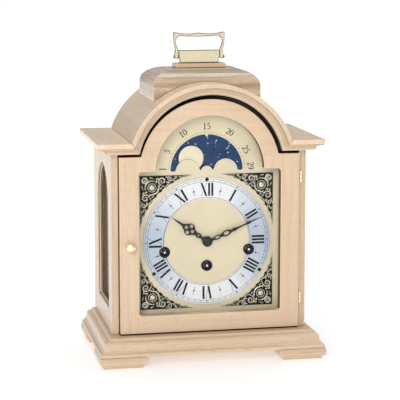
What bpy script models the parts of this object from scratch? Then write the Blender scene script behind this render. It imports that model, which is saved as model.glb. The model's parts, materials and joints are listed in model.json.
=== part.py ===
"""Key-wound mantel clock in pale wood, with an arched break-arch dial and a brass bail handle.

The frame is +X to the clock's right as seen from its front, -Y to the front and +Z up, with the
origin on the surface it stands on, under the middle of its box. Sizes below are in millimetres and
MM turns them into metres.
"""

from math import asin, cos, degrees, radians, sin, sqrt

import bmesh
import bpy
from mathutils import Matrix

MM = 0.001
GAP = 0.3  # between pieces that rest on each other

# Whole case
HALF_WIDTH = 125.0  # base and cornice
CASE_HALF = 108.8
SIDE_THICK = 8.0
BACK = 84.0
CASE_BACK = 83.0
DOOR_FRONT = -60.0
CASE_FRONT = DOOR_FRONT + 6.0
BASE_FRONT = -84.0
CORNICE_FRONT = -74.6
FOOT_HEIGHT = 12.8
FOOT_SIZE = 52.6
FOOT_OUT = 1.2
BASE_THICK = 18.5
BASE_TOP = FOOT_HEIGHT + BASE_THICK
CASE_INNER = CASE_HALF - SIDE_THICK

# Hood: two flat shoulders and a barrel between them
SHOULDER_TOP = BASE_TOP + 212.5
SHOULDER_THICK = 5.6
ARCH_Z = BASE_TOP + 181.7
BARREL_R = 93.2
BARREL_INNER = BARREL_R - SHOULDER_THICK
CASE_TOP = SHOULDER_TOP - SHOULDER_THICK
LIP_DROP = 12.6
LIP_INSET = 8.5
ARCH_STEPS = 36

# Bell top and its handle
BELL_HALF_X = 59.5
BELL_FRONT = -43.0
BELL_BACK = 52.0
BELL_TOP = 318.5
BELL_RISE = 18.0
BELL_ROUNDNESS = 2.2
HANDLE_Y = 0.5 * (BELL_FRONT + BELL_BACK)
PLATFORM_HALF = (28.2, 12.5)
PLATFORM_THICK = 4.3
PEDESTAL_HALF_X = 23.0
PEDESTAL_THICK = 7.2
PEDESTAL_RISE = 14.0
BAIL_PIVOT_Z = 330.0
BAIL_ARM_X = 25.6
BAIL_HALF = 29.0
BAIL_TOP = 357.4
BAIL_THICK = 4.0

# Front door
DOOR_HALF = 99.85
DOOR_THICK = 14.0
DOOR_BOTTOM = BASE_TOP + 1.5
DOOR_SHOULDER = 227.4
DOOR_ARCH_Z = 210.8
DOOR_ARCH_R = 77.8
VIEW_HALF = 79.0
VIEW_BOTTOM = 52.1
VIEW_SHOULDER = 211.2
VIEW_R = 60.2
VIEW_CORNER = 3.5
REBATE_WIDE = 4.0
REBATE_DEEP = 3.8
GLASS_THICK = 2.0
DOOR_AXIS = (102.0, CASE_FRONT - 2.0)
DOOR_KNUCKLE_R = 1.7
DOOR_HINGE_Z = (65.0, 201.0)
DOOR_HINGE_LENGTH = 12.0
KNOB_X = -88.7
KNOB_Z = 130.4
KNOB_R = 5.2

# Side panels
SIDE_VIEW_Y = 12.0
SIDE_VIEW_R = 42.0
SIDE_VIEW_BOTTOM = 57.6
SIDE_VIEW_SPRING = 169.5
SIDE_CHAMFER = 3.0

# Dial
DIAL_Y = DOOR_FRONT + 20.0  # front face of the plate
DIAL_Z = 129.4
PLATE_THICK = 1.5
RING_OUTER = 71.2
RING_INNER = 48.0
RING_THICK = 1.0
SPANDREL_HALF = 74.6
SPANDREL_R = 77.0
MOON_Z = 207.5
MOON_VIEW_R = 40.6
MOON_DISC_R = 44.0
MOON_HUMP_X = 21.2
MOON_HUMP_R = 13.4
MOON_BOSS_R = 6.8
WINDING_X = 47.5
WINDING_DROP = 11.0
CENTRE_WINDING_DROP = 27.6
WINDING_HOLE_R = 6.2
COLLAR_OUTER = 5.85
COLLAR_INNER = 4.95
HOUR_HAND_ANGLE = 305.3
MINUTE_HAND_ANGLE = 67.0
HOUR_HAND_LENGTH = 48.6
MINUTE_HAND_LENGTH = 69.6

DIAL_PLATE_HALF = 83.0
DIAL_PLATE_BOTTOM = 48.0
DIAL_PLATE_SHOULDER = 215.0
DIAL_PLATE_R = 64.5
DIAL_FOOT_INSET = 4.0
HOUR_HAND_Y = (-43.9, -43.2)
MINUTE_HAND_Y = (-45.2, -44.5)

# Movement
MASK_FRONT = -36.2
MASK_THICK = 4.0
MASK_CUT_HALF = 62.0
MASK_CUT_Z = (76.0, 196.0)
PLATE_HALF = 57.5
PLATE_BOTTOM = 80.0
PLATE_TOP = 192.0
FRONT_PLATE_Y = (-26.0, -24.0)
BACK_PLATE_Y = (14.0, 16.0)
BARREL_WHEEL_R = 21.0
MOTION_DISTANCE = 20.0  # centre arbor to motion work stud
PILLAR_R = 3.0
PILLARS = ((-52.0, 86.0), (52.0, 86.0), (-36.0, 186.0), (36.0, 186.0))
BALANCE_Z = 176.0

# Gong and hammers
ROD_COUNT = 5
ROD_Y = 30.0
ROD_PITCH = 8.0
ROD_R = 1.4
ROD_Z = BASE_TOP + GAP + 14.0
ROD_LENGTH = 160.0
ROD_SHORTER = 9.0  # each rod than the one before
GONG_BLOCK_X = (-92.0, -76.0)
HAMMER_X = -40.0
HAMMER_Z = 84.0
HAMMER_REACH = 22.0
HAMMER_REST = 1.5  # above the rods
HAMMER_HEAD_R = 2.6
HAMMER_HEAD_LENGTH = 9.0
HAMMER_ARBOR_R = 1.6

# Rear door
REAR_HALF = 72.0
REAR_BOTTOM = 55.0
REAR_SPRING = 190.0
REAR_BOARD_Y = (76.0, CASE_BACK)
REAR_AXIS = (REAR_HALF - 0.35, 84.1)
REAR_KNUCKLE_R = 0.95
REAR_HINGE_Z = 90.0
REAR_HINGE_LENGTH = 70.0
REAR_KNUCKLES = 5
REAR_PULL_X = -60.0
REAR_PULL_Z = 140.0


# Scene, collections and materials

def clear_scene():
    for obj in list(bpy.data.objects):
        bpy.data.objects.remove(obj)


def new_collection(name):
    collection = bpy.data.collections.new(name)
    bpy.context.scene.collection.children.link(collection)
    return collection


clear_scene()
PARTS = new_collection("mantel_clock")
CUTTERS = new_collection("cutters")


def new_material(name, colour, roughness, metallic=0.0):
    material = bpy.data.materials.new(name)
    material.use_nodes = True
    shader = material.node_tree.nodes["Principled BSDF"]
    shader.inputs["Base Color"].default_value = (*colour, 1.0)
    shader.inputs["Roughness"].default_value = roughness
    shader.inputs["Metallic"].default_value = metallic
    return material


WOOD = new_material("pale_wood", (0.78, 0.60, 0.40), 0.45)
PLY = new_material("inner_board", (0.60, 0.45, 0.30), 0.7)
BRASS = new_material("brass", (0.86, 0.74, 0.42), 0.25, 1.0)
CREAM = new_material("cream_dial", (0.86, 0.80, 0.60), 0.4)
SILVER = new_material("silvered_ring", (0.74, 0.80, 0.88), 0.35, 0.3)
DARK = new_material("blackened_steel", (0.02, 0.02, 0.02), 0.35)
STEEL = new_material("steel", (0.60, 0.60, 0.60), 0.3, 1.0)
NAVY = new_material("moon_blue", (0.03, 0.10, 0.28), 0.4)
RELIEF = new_material("spandrel_relief", (0.50, 0.44, 0.28), 0.5)
GLASS = new_material("glass", (0.92, 0.96, 0.96), 0.03)


# Building tools

def add_object(name, mesh, material):
    """Link a mesh as a named part, or as a cutter when it has no material."""
    obj = bpy.data.objects.new(name, mesh)
    if material is None:
        obj.hide_render = True
        obj.display_type = "WIRE"
        CUTTERS.objects.link(obj)
        return obj
    mesh.materials.append(material)
    PARTS.objects.link(obj)
    return obj


def mesh_from(name, bm):
    bmesh.ops.recalc_face_normals(bm, faces=bm.faces)
    mesh = bpy.data.meshes.new(name)
    bm.to_mesh(mesh)
    bm.free()
    return mesh


def smooth(obj, angle=35.0):
    obj.data.shade_smooth()
    obj.data.set_sharp_from_angle(angle=radians(angle))
    return obj


def soften(obj, width, segments=1):
    """Round an object's sharp edges by width millimetres."""
    bevel = obj.modifiers.new("soften", "BEVEL")
    bevel.width = width * MM
    bevel.segments = segments
    bevel.limit_method = "ANGLE"
    bevel.angle_limit = radians(40)
    return obj


def boolean(obj, operand, operation="DIFFERENCE"):
    modifier = obj.modifiers.new(operation.lower(), "BOOLEAN")
    modifier.operation = operation
    modifier.solver = "EXACT"
    modifier.object = operand
    return obj


def cut(obj, *cutters):
    for cutter in cutters:
        boolean(obj, cutter)
    return obj


def join(obj, *others):
    for other in others:
        boolean(obj, other, "UNION")
    return obj


def box(name, low, high, material):
    bm = bmesh.new()
    bmesh.ops.create_cube(bm, size=1.0)
    size = [(b - a) * MM for a, b in zip(low, high)]
    bmesh.ops.scale(bm, vec=size, verts=bm.verts)
    obj = add_object(name, mesh_from(name, bm), material)
    obj.location = [(a + b) / 2 * MM for a, b in zip(low, high)]
    return obj


AXES = {"Z": (0.0, 0.0, 0.0), "FRONT": (radians(90), 0.0, 0.0), "X": (0.0, radians(90), 0.0)}


def rod(name, radius, start, length, material, axis="FRONT", steps=24):
    """A cylinder from the point start, along the axis for length."""
    bm = bmesh.new()
    bmesh.ops.create_cone(bm, cap_ends=True, segments=steps, radius1=radius * MM,
                          radius2=radius * MM, depth=length * MM)
    bmesh.ops.translate(bm, vec=(0, 0, length * MM / 2), verts=bm.verts)
    obj = add_object(name, mesh_from(name, bm), material)
    obj.location = [value * MM for value in start]
    obj.rotation_euler = AXES[axis]
    return smooth(obj)


def turned(name, profile, place, material, axis="Z", steps=24, ring=False):
    """A profile of (radius, height) points, top to bottom, turned about the axis through place."""
    mesh = bpy.data.meshes.new(name)
    edges = [(i, i + 1) for i in range(len(profile) - 1)]
    if ring:
        edges.append((len(profile) - 1, 0))
    mesh.from_pydata([(r * MM, 0.0, h * MM) for r, h in profile], edges, [])
    obj = add_object(name, mesh, material)
    screw = obj.modifiers.new("turn", "SCREW")
    screw.axis = "Z"
    screw.steps = steps
    screw.render_steps = steps
    screw.use_merge_vertices = True
    screw.merge_threshold = 0.00001
    screw.use_smooth_shade = True
    obj.location = [value * MM for value in place]
    obj.rotation_euler = AXES[axis]
    return obj


def flat(name, outlines, low, high, material, facing="FRONT"):
    """A flat piece between two depths. FRONT outlines are (x, z) points and SIDE ones are (y, z)."""
    curve = bpy.data.curves.new(name, "CURVE")
    curve.dimensions = "2D"
    curve.fill_mode = "BOTH"
    curve.extrude = (high - low) * MM / 2
    curve.resolution_u = 1
    curve.render_resolution_u = 0
    for outline in outlines:
        spline = curve.splines.new("POLY")
        spline.points.add(len(outline) - 1)
        for point, (u, v) in zip(spline.points, outline):
            point.co = (u * MM, v * MM, 0.0, 1.0)
        spline.use_cyclic_u = True
    source = bpy.data.objects.new(name, curve)
    bpy.context.scene.collection.objects.link(source)
    evaluated = source.evaluated_get(bpy.context.evaluated_depsgraph_get())
    mesh = bpy.data.meshes.new_from_object(evaluated)
    bpy.data.objects.remove(source)
    bpy.data.curves.remove(curve)
    bm = bmesh.new()
    bm.from_mesh(mesh)
    bpy.data.meshes.remove(mesh)
    bmesh.ops.remove_doubles(bm, verts=bm.verts, dist=0.000005)
    obj = add_object(name, mesh_from(name, bm), material)
    middle = (low + high) / 2 * MM
    if facing == "FRONT":
        obj.rotation_euler = AXES["FRONT"]
        obj.location = (0.0, middle, 0.0)
    else:
        obj.rotation_euler = (radians(90), 0.0, radians(90))
        obj.location = (middle, 0.0, 0.0)
    return obj


def loft(name, rings, material):
    """Skin a row of equal rings of (x, y, z) points and close both ends."""
    bm = bmesh.new()
    rows = [[bm.verts.new([value * MM for value in point]) for point in ring] for ring in rings]
    count = len(rows[0])
    for near, far in zip(rows, rows[1:]):
        for i in range(count):
            j = (i + 1) % count
            bm.faces.new((near[i], near[j], far[j], far[i]))
    bm.faces.new(rows[0])
    bm.faces.new(rows[-1])
    return add_object(name, mesh_from(name, bm), material)


def arc(centre_u, centre_v, radius, start, end, steps):
    """Points on a circle from one angle to another, in degrees anticlockwise from +u."""
    angles = [radians(start + (end - start) * i / steps) for i in range(steps + 1)]
    return [(centre_u + radius * cos(a), centre_v + radius * sin(a)) for a in angles]


def hole(u, v, radius, steps):
    """A closed circle of steps points, started at an angle of its own so that no two line up."""
    start = (u + v) % 60
    return arc(u, v, radius, start, start + 360 - 360 / steps, steps - 1)


def level_ring(near, far, z):
    """The rectangle between two (x, y) corners at one height."""
    return [(near[0], near[1], z), (far[0], near[1], z), (far[0], far[1], z), (near[0], far[1], z)]


def break_arch(half, bottom, shoulder, arch_z, radius, corner=0.0, steps=ARCH_STEPS):
    """A rectangle with an arch standing on its top edge, anticlockwise from its lower right."""
    start = degrees(asin((shoulder - arch_z) / radius))
    points = [(half, bottom), (half, shoulder)]
    if corner:
        points = arc(half - corner, bottom + corner, corner, -90, 0, 3)
        points += arc(half - corner, shoulder - corner, corner, 0, 90, 3)
    points += arc(0.0, arch_z, radius, start, 180 - start, steps)
    if corner:
        points += arc(corner - half, shoulder - corner, corner, 90, 180, 3)
        points += arc(corner - half, bottom + corner, corner, 180, 270, 3)
    else:
        points += [(-half, shoulder), (-half, bottom)]
    return points


def pivot(name, place):
    """An empty on a joint's axis, for the moving pieces to hang from."""
    empty = bpy.data.objects.new(name, None)
    empty.location = [value * MM for value in place]
    PARTS.objects.link(empty)
    return empty


def hang(empty, *pieces):
    for piece in pieces:
        piece.parent = empty
        piece.matrix_parent_inverse = Matrix.Translation(-empty.location)


# Base and feet

def make_base():
    edge = [(12.7, BASE_THICK), (11.8, 17.7), (11.7, 16.1), (8.3, 15.4), (6.4, 14.0), (5.5, 12.0),
            (5.5, 9.2), (4.7, 7.2), (3.2, 5.2), (1.0, 3.7), (0.0, 3.0), (0.0, 0.0)]
    rings = []
    for inset, height in edge:
        x = HALF_WIDTH - inset
        rings.append(level_ring((-x, BASE_FRONT + inset), (x, BACK), FOOT_HEIGHT + height))
    return loft("base_plinth", rings, WOOD)


def make_foot(name, side, end):
    """A moulded pad under one corner; side is -1 on the left, and end is -1 at the front."""
    edge = [(1.0, 12.5), (0.3, 11.4), (0.0, 9.5), (0.0, 7.0), (1.0, 5.0), (2.6, 3.6), (4.2, 3.0),
            (4.4, 0.0)]
    outer_x = HALF_WIDTH + FOOT_OUT
    outer_y = BACK + FOOT_OUT
    rings = []
    for inset, height in edge:
        outer = (side * (outer_x - inset), end * (outer_y - inset))
        inner = (side * (outer_x - FOOT_SIZE + inset), end * (outer_y - FOOT_SIZE + inset))
        rings.append(level_ring(outer, inner, height))
    return loft(name, rings, WOOD)


# Case sides with their windows

def side_window(grow=0.0, steps=16):
    half = SIDE_VIEW_R + grow
    bottom = SIDE_VIEW_BOTTOM - grow
    points = [(SIDE_VIEW_Y - half, bottom), (SIDE_VIEW_Y + half, bottom)]
    return points + arc(SIDE_VIEW_Y, SIDE_VIEW_SPRING, half, 0, 180, steps)


def make_side(name, side):
    inner, outer = CASE_INNER, CASE_HALF
    outline = [(CASE_FRONT, BASE_TOP + GAP), (CASE_BACK, BASE_TOP + GAP),
               (CASE_BACK, CASE_TOP - GAP), (CASE_FRONT, CASE_TOP - GAP)]
    low, high = sorted((side * inner, side * outer))
    panel = flat(name, [outline, side_window()], low, high, WOOD, "SIDE")
    low, high = sorted((side * (inner - 1.0), side * (inner + 2.5)))
    rebate = flat(name + "_rebate", [side_window(REBATE_WIDE)], low, high, None, "SIDE")
    flare = []
    for grow, x in ((0.0, outer - SIDE_CHAMFER), (SIDE_CHAMFER + 1.0, outer + 1.0)):
        flare.append([(side * x, y, z) for y, z in side_window(grow)])
    chamfer = loft(name + "_chamfer", flare, None)
    cut(panel, rebate, chamfer)
    if side > 0:
        for z in DOOR_HINGE_Z:
            reach = DOOR_HINGE_LENGTH / 2 + 0.5
            pocket = box("hinge_pocket", (inner - 1.0, CASE_FRONT - 1.0, z - reach),
                         (inner + 1.0, CASE_FRONT + 9.5, z + reach), None)
            cut(panel, pocket)
    return panel


def make_side_glass(name, side):
    low, high = sorted((side * (CASE_INNER + 0.3), side * (CASE_INNER + 2.1)))
    return flat(name, [side_window(REBATE_WIDE - 0.4)], low, high, GLASS, "SIDE")


# Hood

def cornice_row(drop, inset):
    """The line that one height of the front moulding follows: shoulder, arch and shoulder."""
    radius = BARREL_R - drop
    level = SHOULDER_TOP - drop
    reach = HALF_WIDTH - inset
    start = degrees(asin((level - ARCH_Z) / radius))
    line = [(reach, level)]
    line += arc(0.0, ARCH_Z, radius, start, 180 - start, ARCH_STEPS)
    line.append((-reach, level))
    return [(x, CORNICE_FRONT + inset, z) for x, z in line]


def cove_profile(back_inset):
    """(inset from the cornice's face, drop below its top) round the moulding's section."""
    top, bottom, start, end = 6.9, 11.6, 1.2, LIP_INSET
    steps = 5
    points = [(start, SHOULDER_THICK + GAP)]
    for i in range(steps + 1):
        a = radians(90) * i / steps
        points.append((start + (end - start) * sin(a), bottom - (bottom - top) * cos(a)))
    return points + [(end, LIP_DROP), (back_inset, LIP_DROP), (back_inset, SHOULDER_THICK + GAP)]


def make_front_cove():
    rows = [cornice_row(drop, inset) for inset, drop in cove_profile(CASE_FRONT - GAP - CORNICE_FRONT)]
    sections = [list(section) for section in zip(*rows)]
    return loft("cornice_mould_front", sections, WOOD)


def make_side_cove(name, side):
    profile = cove_profile(HALF_WIDTH - CASE_HALF - GAP)
    near, far = [], []
    for inset, drop in profile:
        x, z = side * (HALF_WIDTH - inset), SHOULDER_TOP - drop
        near.append((x, CORNICE_FRONT + inset + GAP, z))
        far.append((x, BACK, z))
    return loft(name, [near, far], WOOD)


def barrel_foot(radius, level):
    """Half the width of a circle about the barrel's axis at a height."""
    return sqrt(radius ** 2 - (level - ARCH_Z) ** 2)


def make_barrel():
    top = degrees(asin((SHOULDER_TOP - ARCH_Z) / BARREL_R))
    under = degrees(asin((CASE_TOP - ARCH_Z) / BARREL_INNER))
    outline = arc(0.0, ARCH_Z, BARREL_R, top, 180 - top, ARCH_STEPS)
    outline += arc(0.0, ARCH_Z, BARREL_INNER, 180 - under, under, ARCH_STEPS)
    return smooth(flat("hood_barrel", [outline], CORNICE_FRONT, BACK, WOOD))


def make_shoulder(name, side):
    inner_top = barrel_foot(BARREL_R, SHOULDER_TOP) + GAP
    inner_under = barrel_foot(BARREL_INNER, CASE_TOP) + GAP
    outline = [(side * inner_top, SHOULDER_TOP), (side * HALF_WIDTH, SHOULDER_TOP),
               (side * HALF_WIDTH, CASE_TOP), (side * inner_under, CASE_TOP)]
    return flat(name, [outline], CORNICE_FRONT, BACK, WOOD)


def bell_drop(u):
    """How far the cushion has fallen at a share u of the way from its middle to its edge."""
    return BELL_RISE * (1 - (1 - u ** BELL_ROUNDNESS) ** (1 / BELL_ROUNDNESS))


def make_bell():
    """A cushion shape with hips, cut underneath to sit over the barrel."""
    steps = 10
    top_x, top_y = PLATFORM_HALF[0] + 0.3, PLATFORM_HALF[1] + 0.3
    half_y = (BELL_BACK - BELL_FRONT) / 2
    shares = [sin(radians(90) * i / steps) for i in range(steps + 1)]
    levels = [(u, BELL_TOP - bell_drop(u)) for u in shares]
    levels.append((1.0, SHOULDER_TOP + 30.0))
    rings = []
    for u, z in levels:
        x = top_x + (BELL_HALF_X - top_x) * u
        y = top_y + (half_y - top_y) * u
        rings.append(level_ring((-x, HANDLE_Y - y), (x, HANDLE_Y + y), z))
    bell = loft("bell_top", rings, WOOD)
    start = (0.0, BACK, ARCH_Z)
    length = BACK - CORNICE_FRONT
    return cut(bell, rod("barrel_clearance", BARREL_R + GAP, start, length, None, steps=96))


# Handle

def make_platform():
    x, y = PLATFORM_HALF
    low = BELL_TOP + GAP
    high = low + PLATFORM_THICK
    board = box("handle_platform", (-x, HANDLE_Y - y, low), (x, HANDLE_Y + y, high), WOOD)
    return soften(board, 0.4)


def make_pedestal():
    base = BELL_TOP + PLATFORM_THICK + 2 * GAP
    step = base + 5.2
    top = base + PEDESTAL_RISE
    half = PEDESTAL_HALF_X
    outline = [(1.0 - half, base), (half - 1.0, base), (half - 1.0, step - 0.6), (half, step),
               (half, top), (-half, top), (-half, step), (1.0 - half, step - 0.6)]
    low = HANDLE_Y - PEDESTAL_THICK / 2
    body = flat("handle_pedestal", [outline], low, low + PEDESTAL_THICK, BRASS)
    for start in (half - 7.0, -half - 1.0):
        place = (start, HANDLE_Y, BAIL_PIVOT_Z)
        cut(body, rod("pivot_bore", 1.3, place, 8.0, None, "X", 12))
    return body


def bail_outline():
    """The cast bail's silhouette, horned at its upper corners and waisted above its eyes."""
    eye = BAIL_ARM_X
    foot = BAIL_PIVOT_Z
    top = BAIL_TOP
    outer = arc(eye, foot, 2.3, -180, 0, 6)
    outer += [(eye + 1.6, foot + 8.0), (eye + 2.2, foot + 11.0), (BAIL_HALF - 0.2, foot + 16.0)]
    outer += [(BAIL_HALF, top - 3.0), (BAIL_HALF, top - 0.4), (BAIL_HALF - 1.6, top)]
    outer += [(20.0, top - 1.6), (10.0, top - 2.0)]
    inner = [(8.0, top - 5.0), (16.0, top - 4.7), (21.5, top - 4.2), (24.6, top - 6.0)]
    inner += [(26.2, top - 9.5), (25.6, foot + 13.0), (23.6, foot + 9.0)]
    left_outer = [(-x, z) for x, z in reversed(outer)]
    left_inner = [(-x, z) for x, z in reversed(inner)]
    return outer + [(0.0, top - 1.0)] + left_outer + left_inner + [(0.0, top - 5.2)] + inner


def make_bail():
    low, high = HANDLE_Y - BAIL_THICK / 2, HANDLE_Y + BAIL_THICK / 2
    bail = flat("handle_bail", [bail_outline()], low, high, BRASS)
    for side in (-1, 1):
        start = (side * BAIL_ARM_X - 4.0, HANDLE_Y, BAIL_PIVOT_Z)
        cut(bail, rod("bail_eye", 1.3, start, 8.0, None, "X", 12))
    return bail


def make_bail_pin(name, side):
    """A headed screw through the bail's eye into the pedestal."""
    head = BAIL_ARM_X + 2.3 + GAP
    tip = PEDESTAL_HALF_X - 5.0
    profile = [(0.0, head + 1.2), (1.5, head + 1.2), (2.0, head + 0.8), (2.0, head), (1.0, head),
               (1.0, tip), (0.0, tip)]
    pin = turned(name, profile, (0.0, HANDLE_Y, BAIL_PIVOT_Z), BRASS, "X", 12)
    if side < 0:
        pin.rotation_euler = (0.0, radians(-90), 0.0)
    return pin


# Front door

def view_outline(grow=0.0):
    return break_arch(VIEW_HALF + grow, VIEW_BOTTOM - grow, VIEW_SHOULDER + grow, DOOR_ARCH_Z,
                      VIEW_R + grow, VIEW_CORNER + max(grow, -1.0))


def make_door():
    outline = break_arch(DOOR_HALF, DOOR_BOTTOM, DOOR_SHOULDER, DOOR_ARCH_Z, DOOR_ARCH_R)
    back = DOOR_FRONT + DOOR_THICK
    frame = flat("door_frame", [outline, view_outline()], DOOR_FRONT, back, WOOD)
    rebate = flat("glass_rebate", [view_outline(REBATE_WIDE)], back - REBATE_DEEP, back + 1.0, None)
    cut(frame, rebate)
    cut(frame, rod("knob_bore", 1.6, (KNOB_X, DOOR_FRONT + 9.0, KNOB_Z), 12.0, None, steps=12))
    return frame


def make_door_glass():
    front = DOOR_FRONT + DOOR_THICK - REBATE_DEEP + GAP
    return flat("door_glass", [view_outline(REBATE_WIDE - 0.5)], front, front + GLASS_THICK, GLASS)


def make_bead():
    front = DOOR_FRONT + DOOR_THICK - REBATE_DEEP + GLASS_THICK + 2 * GAP
    back = DOOR_FRONT + DOOR_THICK
    return flat("glazing_bead", [view_outline(REBATE_WIDE - 0.5), view_outline(0.4)], front, back, WOOD)


def make_knob():
    """A turned knob on a shank that goes into the door."""
    profile = [(0.0, 12.0), (2.4, 11.6), (4.4, 10.2), (KNOB_R, 8.0), (4.9, 6.2), (3.6, 4.8),
               (2.4, 4.0), (2.2, 1.6), (3.8, 1.0), (3.8, GAP), (1.3, GAP), (1.3, -7.0), (0.0, -7.0)]
    return turned("door_knob", profile, (KNOB_X, DOOR_FRONT, KNOB_Z), BRASS, "FRONT", 24)


def make_door_hinge(name, z):
    """A butt hinge let into the gap beside the door: a case leaf with its pin, and a door leaf."""
    x, y = DOOR_AXIS
    length = DOOR_HINGE_LENGTH
    third = length / 3
    low = z - length / 2
    first, second, high = low + third, low + 2 * third, low + length
    radius = DOOR_KNUCKLE_R
    leaf_x = CASE_INNER + GAP
    case_leaf = box(name + "_case_leaf", (leaf_x, y, low), (leaf_x + 0.5, y + 10.0, high), BRASS)
    gap_low = (CASE_INNER - 1.0, y - 3.0, first - GAP)
    gap_high = (CASE_INNER + 3.0, y + 2.2, second + GAP)
    cut(case_leaf, box("knuckle_gap", gap_low, gap_high, None))
    join(case_leaf, rod("low_knuckle", radius, (x, y, low), third - GAP, None, "Z", 16))
    join(case_leaf, rod("top_knuckle", radius, (x, y, second + GAP), third - GAP, None, "Z", 16))
    join(case_leaf, rod("hinge_pin", 0.75, (x, y, low - 0.8), length + 1.6, None, "Z", 12))
    leaf_x = DOOR_HALF + 0.2
    door_leaf = box(name + "_door_leaf", (leaf_x, y, first), (leaf_x + 0.4, y + 9.0, second), BRASS)
    join(door_leaf, box("leaf_web", (leaf_x, y - 0.9, first), (x, y, second), None))
    join(door_leaf, rod("middle_knuckle", radius, (x, y, first), third, None, "Z", 16))
    cut(door_leaf, rod("pin_bore", 1.05, (x, y, low), length, None, "Z", 12))
    return case_leaf, door_leaf


# Dial

def moon_window():
    """The moon's opening: an arch above two humps, with a small boss between them."""
    foot = MOON_Z + 0.6
    start = degrees(asin(0.6 / MOON_VIEW_R)) + 1.5
    points = arc(0.0, MOON_Z, MOON_VIEW_R, start, 180 - start, 32)
    points += [(-MOON_VIEW_R + 1.8, foot - 0.4), (-MOON_HUMP_X - MOON_HUMP_R - 0.6, foot)]
    points += arc(-MOON_HUMP_X, MOON_Z, MOON_HUMP_R, 170, 10, 10)
    points += arc(0.0, MOON_Z - 0.9, MOON_BOSS_R, 165, 15, 8)
    points += arc(MOON_HUMP_X, MOON_Z, MOON_HUMP_R, 170, 10, 10)
    points += [(MOON_HUMP_X + MOON_HUMP_R + 0.6, foot), (MOON_VIEW_R - 1.8, foot - 0.4)]
    return points


def winding_places():
    """The three winding arbors: strike at the left, time in the middle and chime at the right."""
    level = DIAL_Z - WINDING_DROP
    places = {"strike": (-WINDING_X, level), "chime": (WINDING_X, level)}
    places["time"] = (0.0, DIAL_Z - CENTRE_WINDING_DROP)
    return places


def make_dial_plate():
    outline = break_arch(DIAL_PLATE_HALF, DIAL_PLATE_BOTTOM, DIAL_PLATE_SHOULDER, DOOR_ARCH_Z,
                         DIAL_PLATE_R)
    outlines = [outline, moon_window(), hole(0.0, DIAL_Z, 4.6, 16)]
    outlines += [hole(x, z, WINDING_HOLE_R, 18) for x, z in winding_places().values()]
    plate = flat("dial_plate", outlines, DIAL_Y, DIAL_Y + PLATE_THICK, CREAM)
    back = MASK_FRONT - GAP
    length = back - DIAL_Y - PLATE_THICK / 2
    foot_x = DIAL_PLATE_HALF - DIAL_FOOT_INSET
    for x in (-foot_x, foot_x):
        for z in (DIAL_PLATE_BOTTOM + DIAL_FOOT_INSET, DIAL_PLATE_SHOULDER - DIAL_FOOT_INSET):
            join(plate, rod("dial_foot", 2.0, (x, back, z), length, None, steps=10))
    return plate


def make_chapter_ring():
    outer = hole(0.0, DIAL_Z, RING_OUTER, 64)
    inner = hole(0.0, DIAL_Z, RING_INNER, 48)
    front = DIAL_Y - GAP - RING_THICK
    ring = flat("chapter_ring", [outer, inner], front, DIAL_Y - GAP, SILVER)
    for name in ("strike", "chime"):
        x, z = winding_places()[name]
        cut(ring, rod("ring_notch", WINDING_HOLE_R, (x, DIAL_Y + 1.0, z), 4.0, None, steps=18))
    return ring


def make_spandrel(name, side, end):
    """A corner casting between the chapter ring and the dial's square."""
    reach = SPANDREL_HALF
    start = degrees(asin(sqrt(SPANDREL_R ** 2 - reach ** 2) / SPANDREL_R))
    line = [(reach, reach)] + arc(0.0, 0.0, SPANDREL_R, 90 - start, start, 12)
    outline = [(side * x, DIAL_Z + end * z) for x, z in line]
    front = DIAL_Y - GAP - RING_THICK
    return flat(name, [outline], front, DIAL_Y - GAP, RELIEF)


def make_moon_disc():
    """The painted disc on a short arbor that runs in the dial mask."""
    profile = [(0.0, 0.6), (2.0, 0.6), (2.0, 0.0), (MOON_DISC_R, 0.0), (MOON_DISC_R, -1.0),
               (1.5, -1.0), (1.5, -5.6), (0.0, -5.6)]
    place = (0.0, DIAL_Y + PLATE_THICK + 0.9, MOON_Z)
    return turned("moon_disc", profile, place, NAVY, "FRONT", 48)


def make_collar(name, x, z):
    profile = [(COLLAR_INNER, 2.0), (COLLAR_OUTER, 2.0), (COLLAR_OUTER, -1.2), (COLLAR_INNER, -1.2)]
    return turned(name, profile, (x, DIAL_Y, z), DARK, "FRONT", 24, ring=True)


def hand_side(stations):
    """A hand's outline from (distance, half width) stations along it."""
    right = list(stations)
    left = [(d, -w) for d, w in reversed(stations) if w]
    return right + left


def turn_hand(points, angle):
    """Turn points given along a hand at twelve to the hand's own angle."""
    a = radians(angle)
    return [(w * cos(a) + d * sin(a), DIAL_Z + d * cos(a) - w * sin(a)) for d, w in points]


def hoop(distance, offset, radius, steps=10):
    """A round hole pierced in a hand."""
    return [(distance + v, offset + u) for u, v in hole(0.0, 0.0, radius, steps)]


def loop(distance, half_length, half_width, steps=12):
    """A long oval hole pierced in a hand."""
    return [(distance + v * half_length, u * half_width) for u, v in hole(0.0, 0.0, 1.0, steps)]


def make_hour_hand():
    stations = [(-5.9, 0.0), (-5.4, 2.2), (-4.2, 4.2), (-2.2, 5.4), (0.0, 5.9), (2.2, 5.4),
                (4.2, 4.2), (6.0, 1.9), (9.0, 1.5), (11.0, 2.7), (13.5, 2.7), (15.5, 1.6),
                (17.3, 2.6), (19.8, 3.9), (21.5, 6.0), (24.6, 7.2), (27.6, 6.2), (29.2, 4.2),
                (31.6, 3.0), (34.0, 1.4), (41.0, 0.9), (HOUR_HAND_LENGTH, 0.0)]
    holes = [hoop(0.0, 0.0, 3.0, 14), hoop(12.3, 0.0, 1.2, 8), hoop(20.6, 0.0, 2.0),
             hoop(24.8, -4.1, 2.1), hoop(24.8, 4.1, 2.1), hoop(29.0, 0.0, 2.0)]
    outlines = [turn_hand(points, HOUR_HAND_ANGLE) for points in [hand_side(stations), *holes]]
    return flat("hour_hand", outlines, *HOUR_HAND_Y, DARK)


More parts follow.
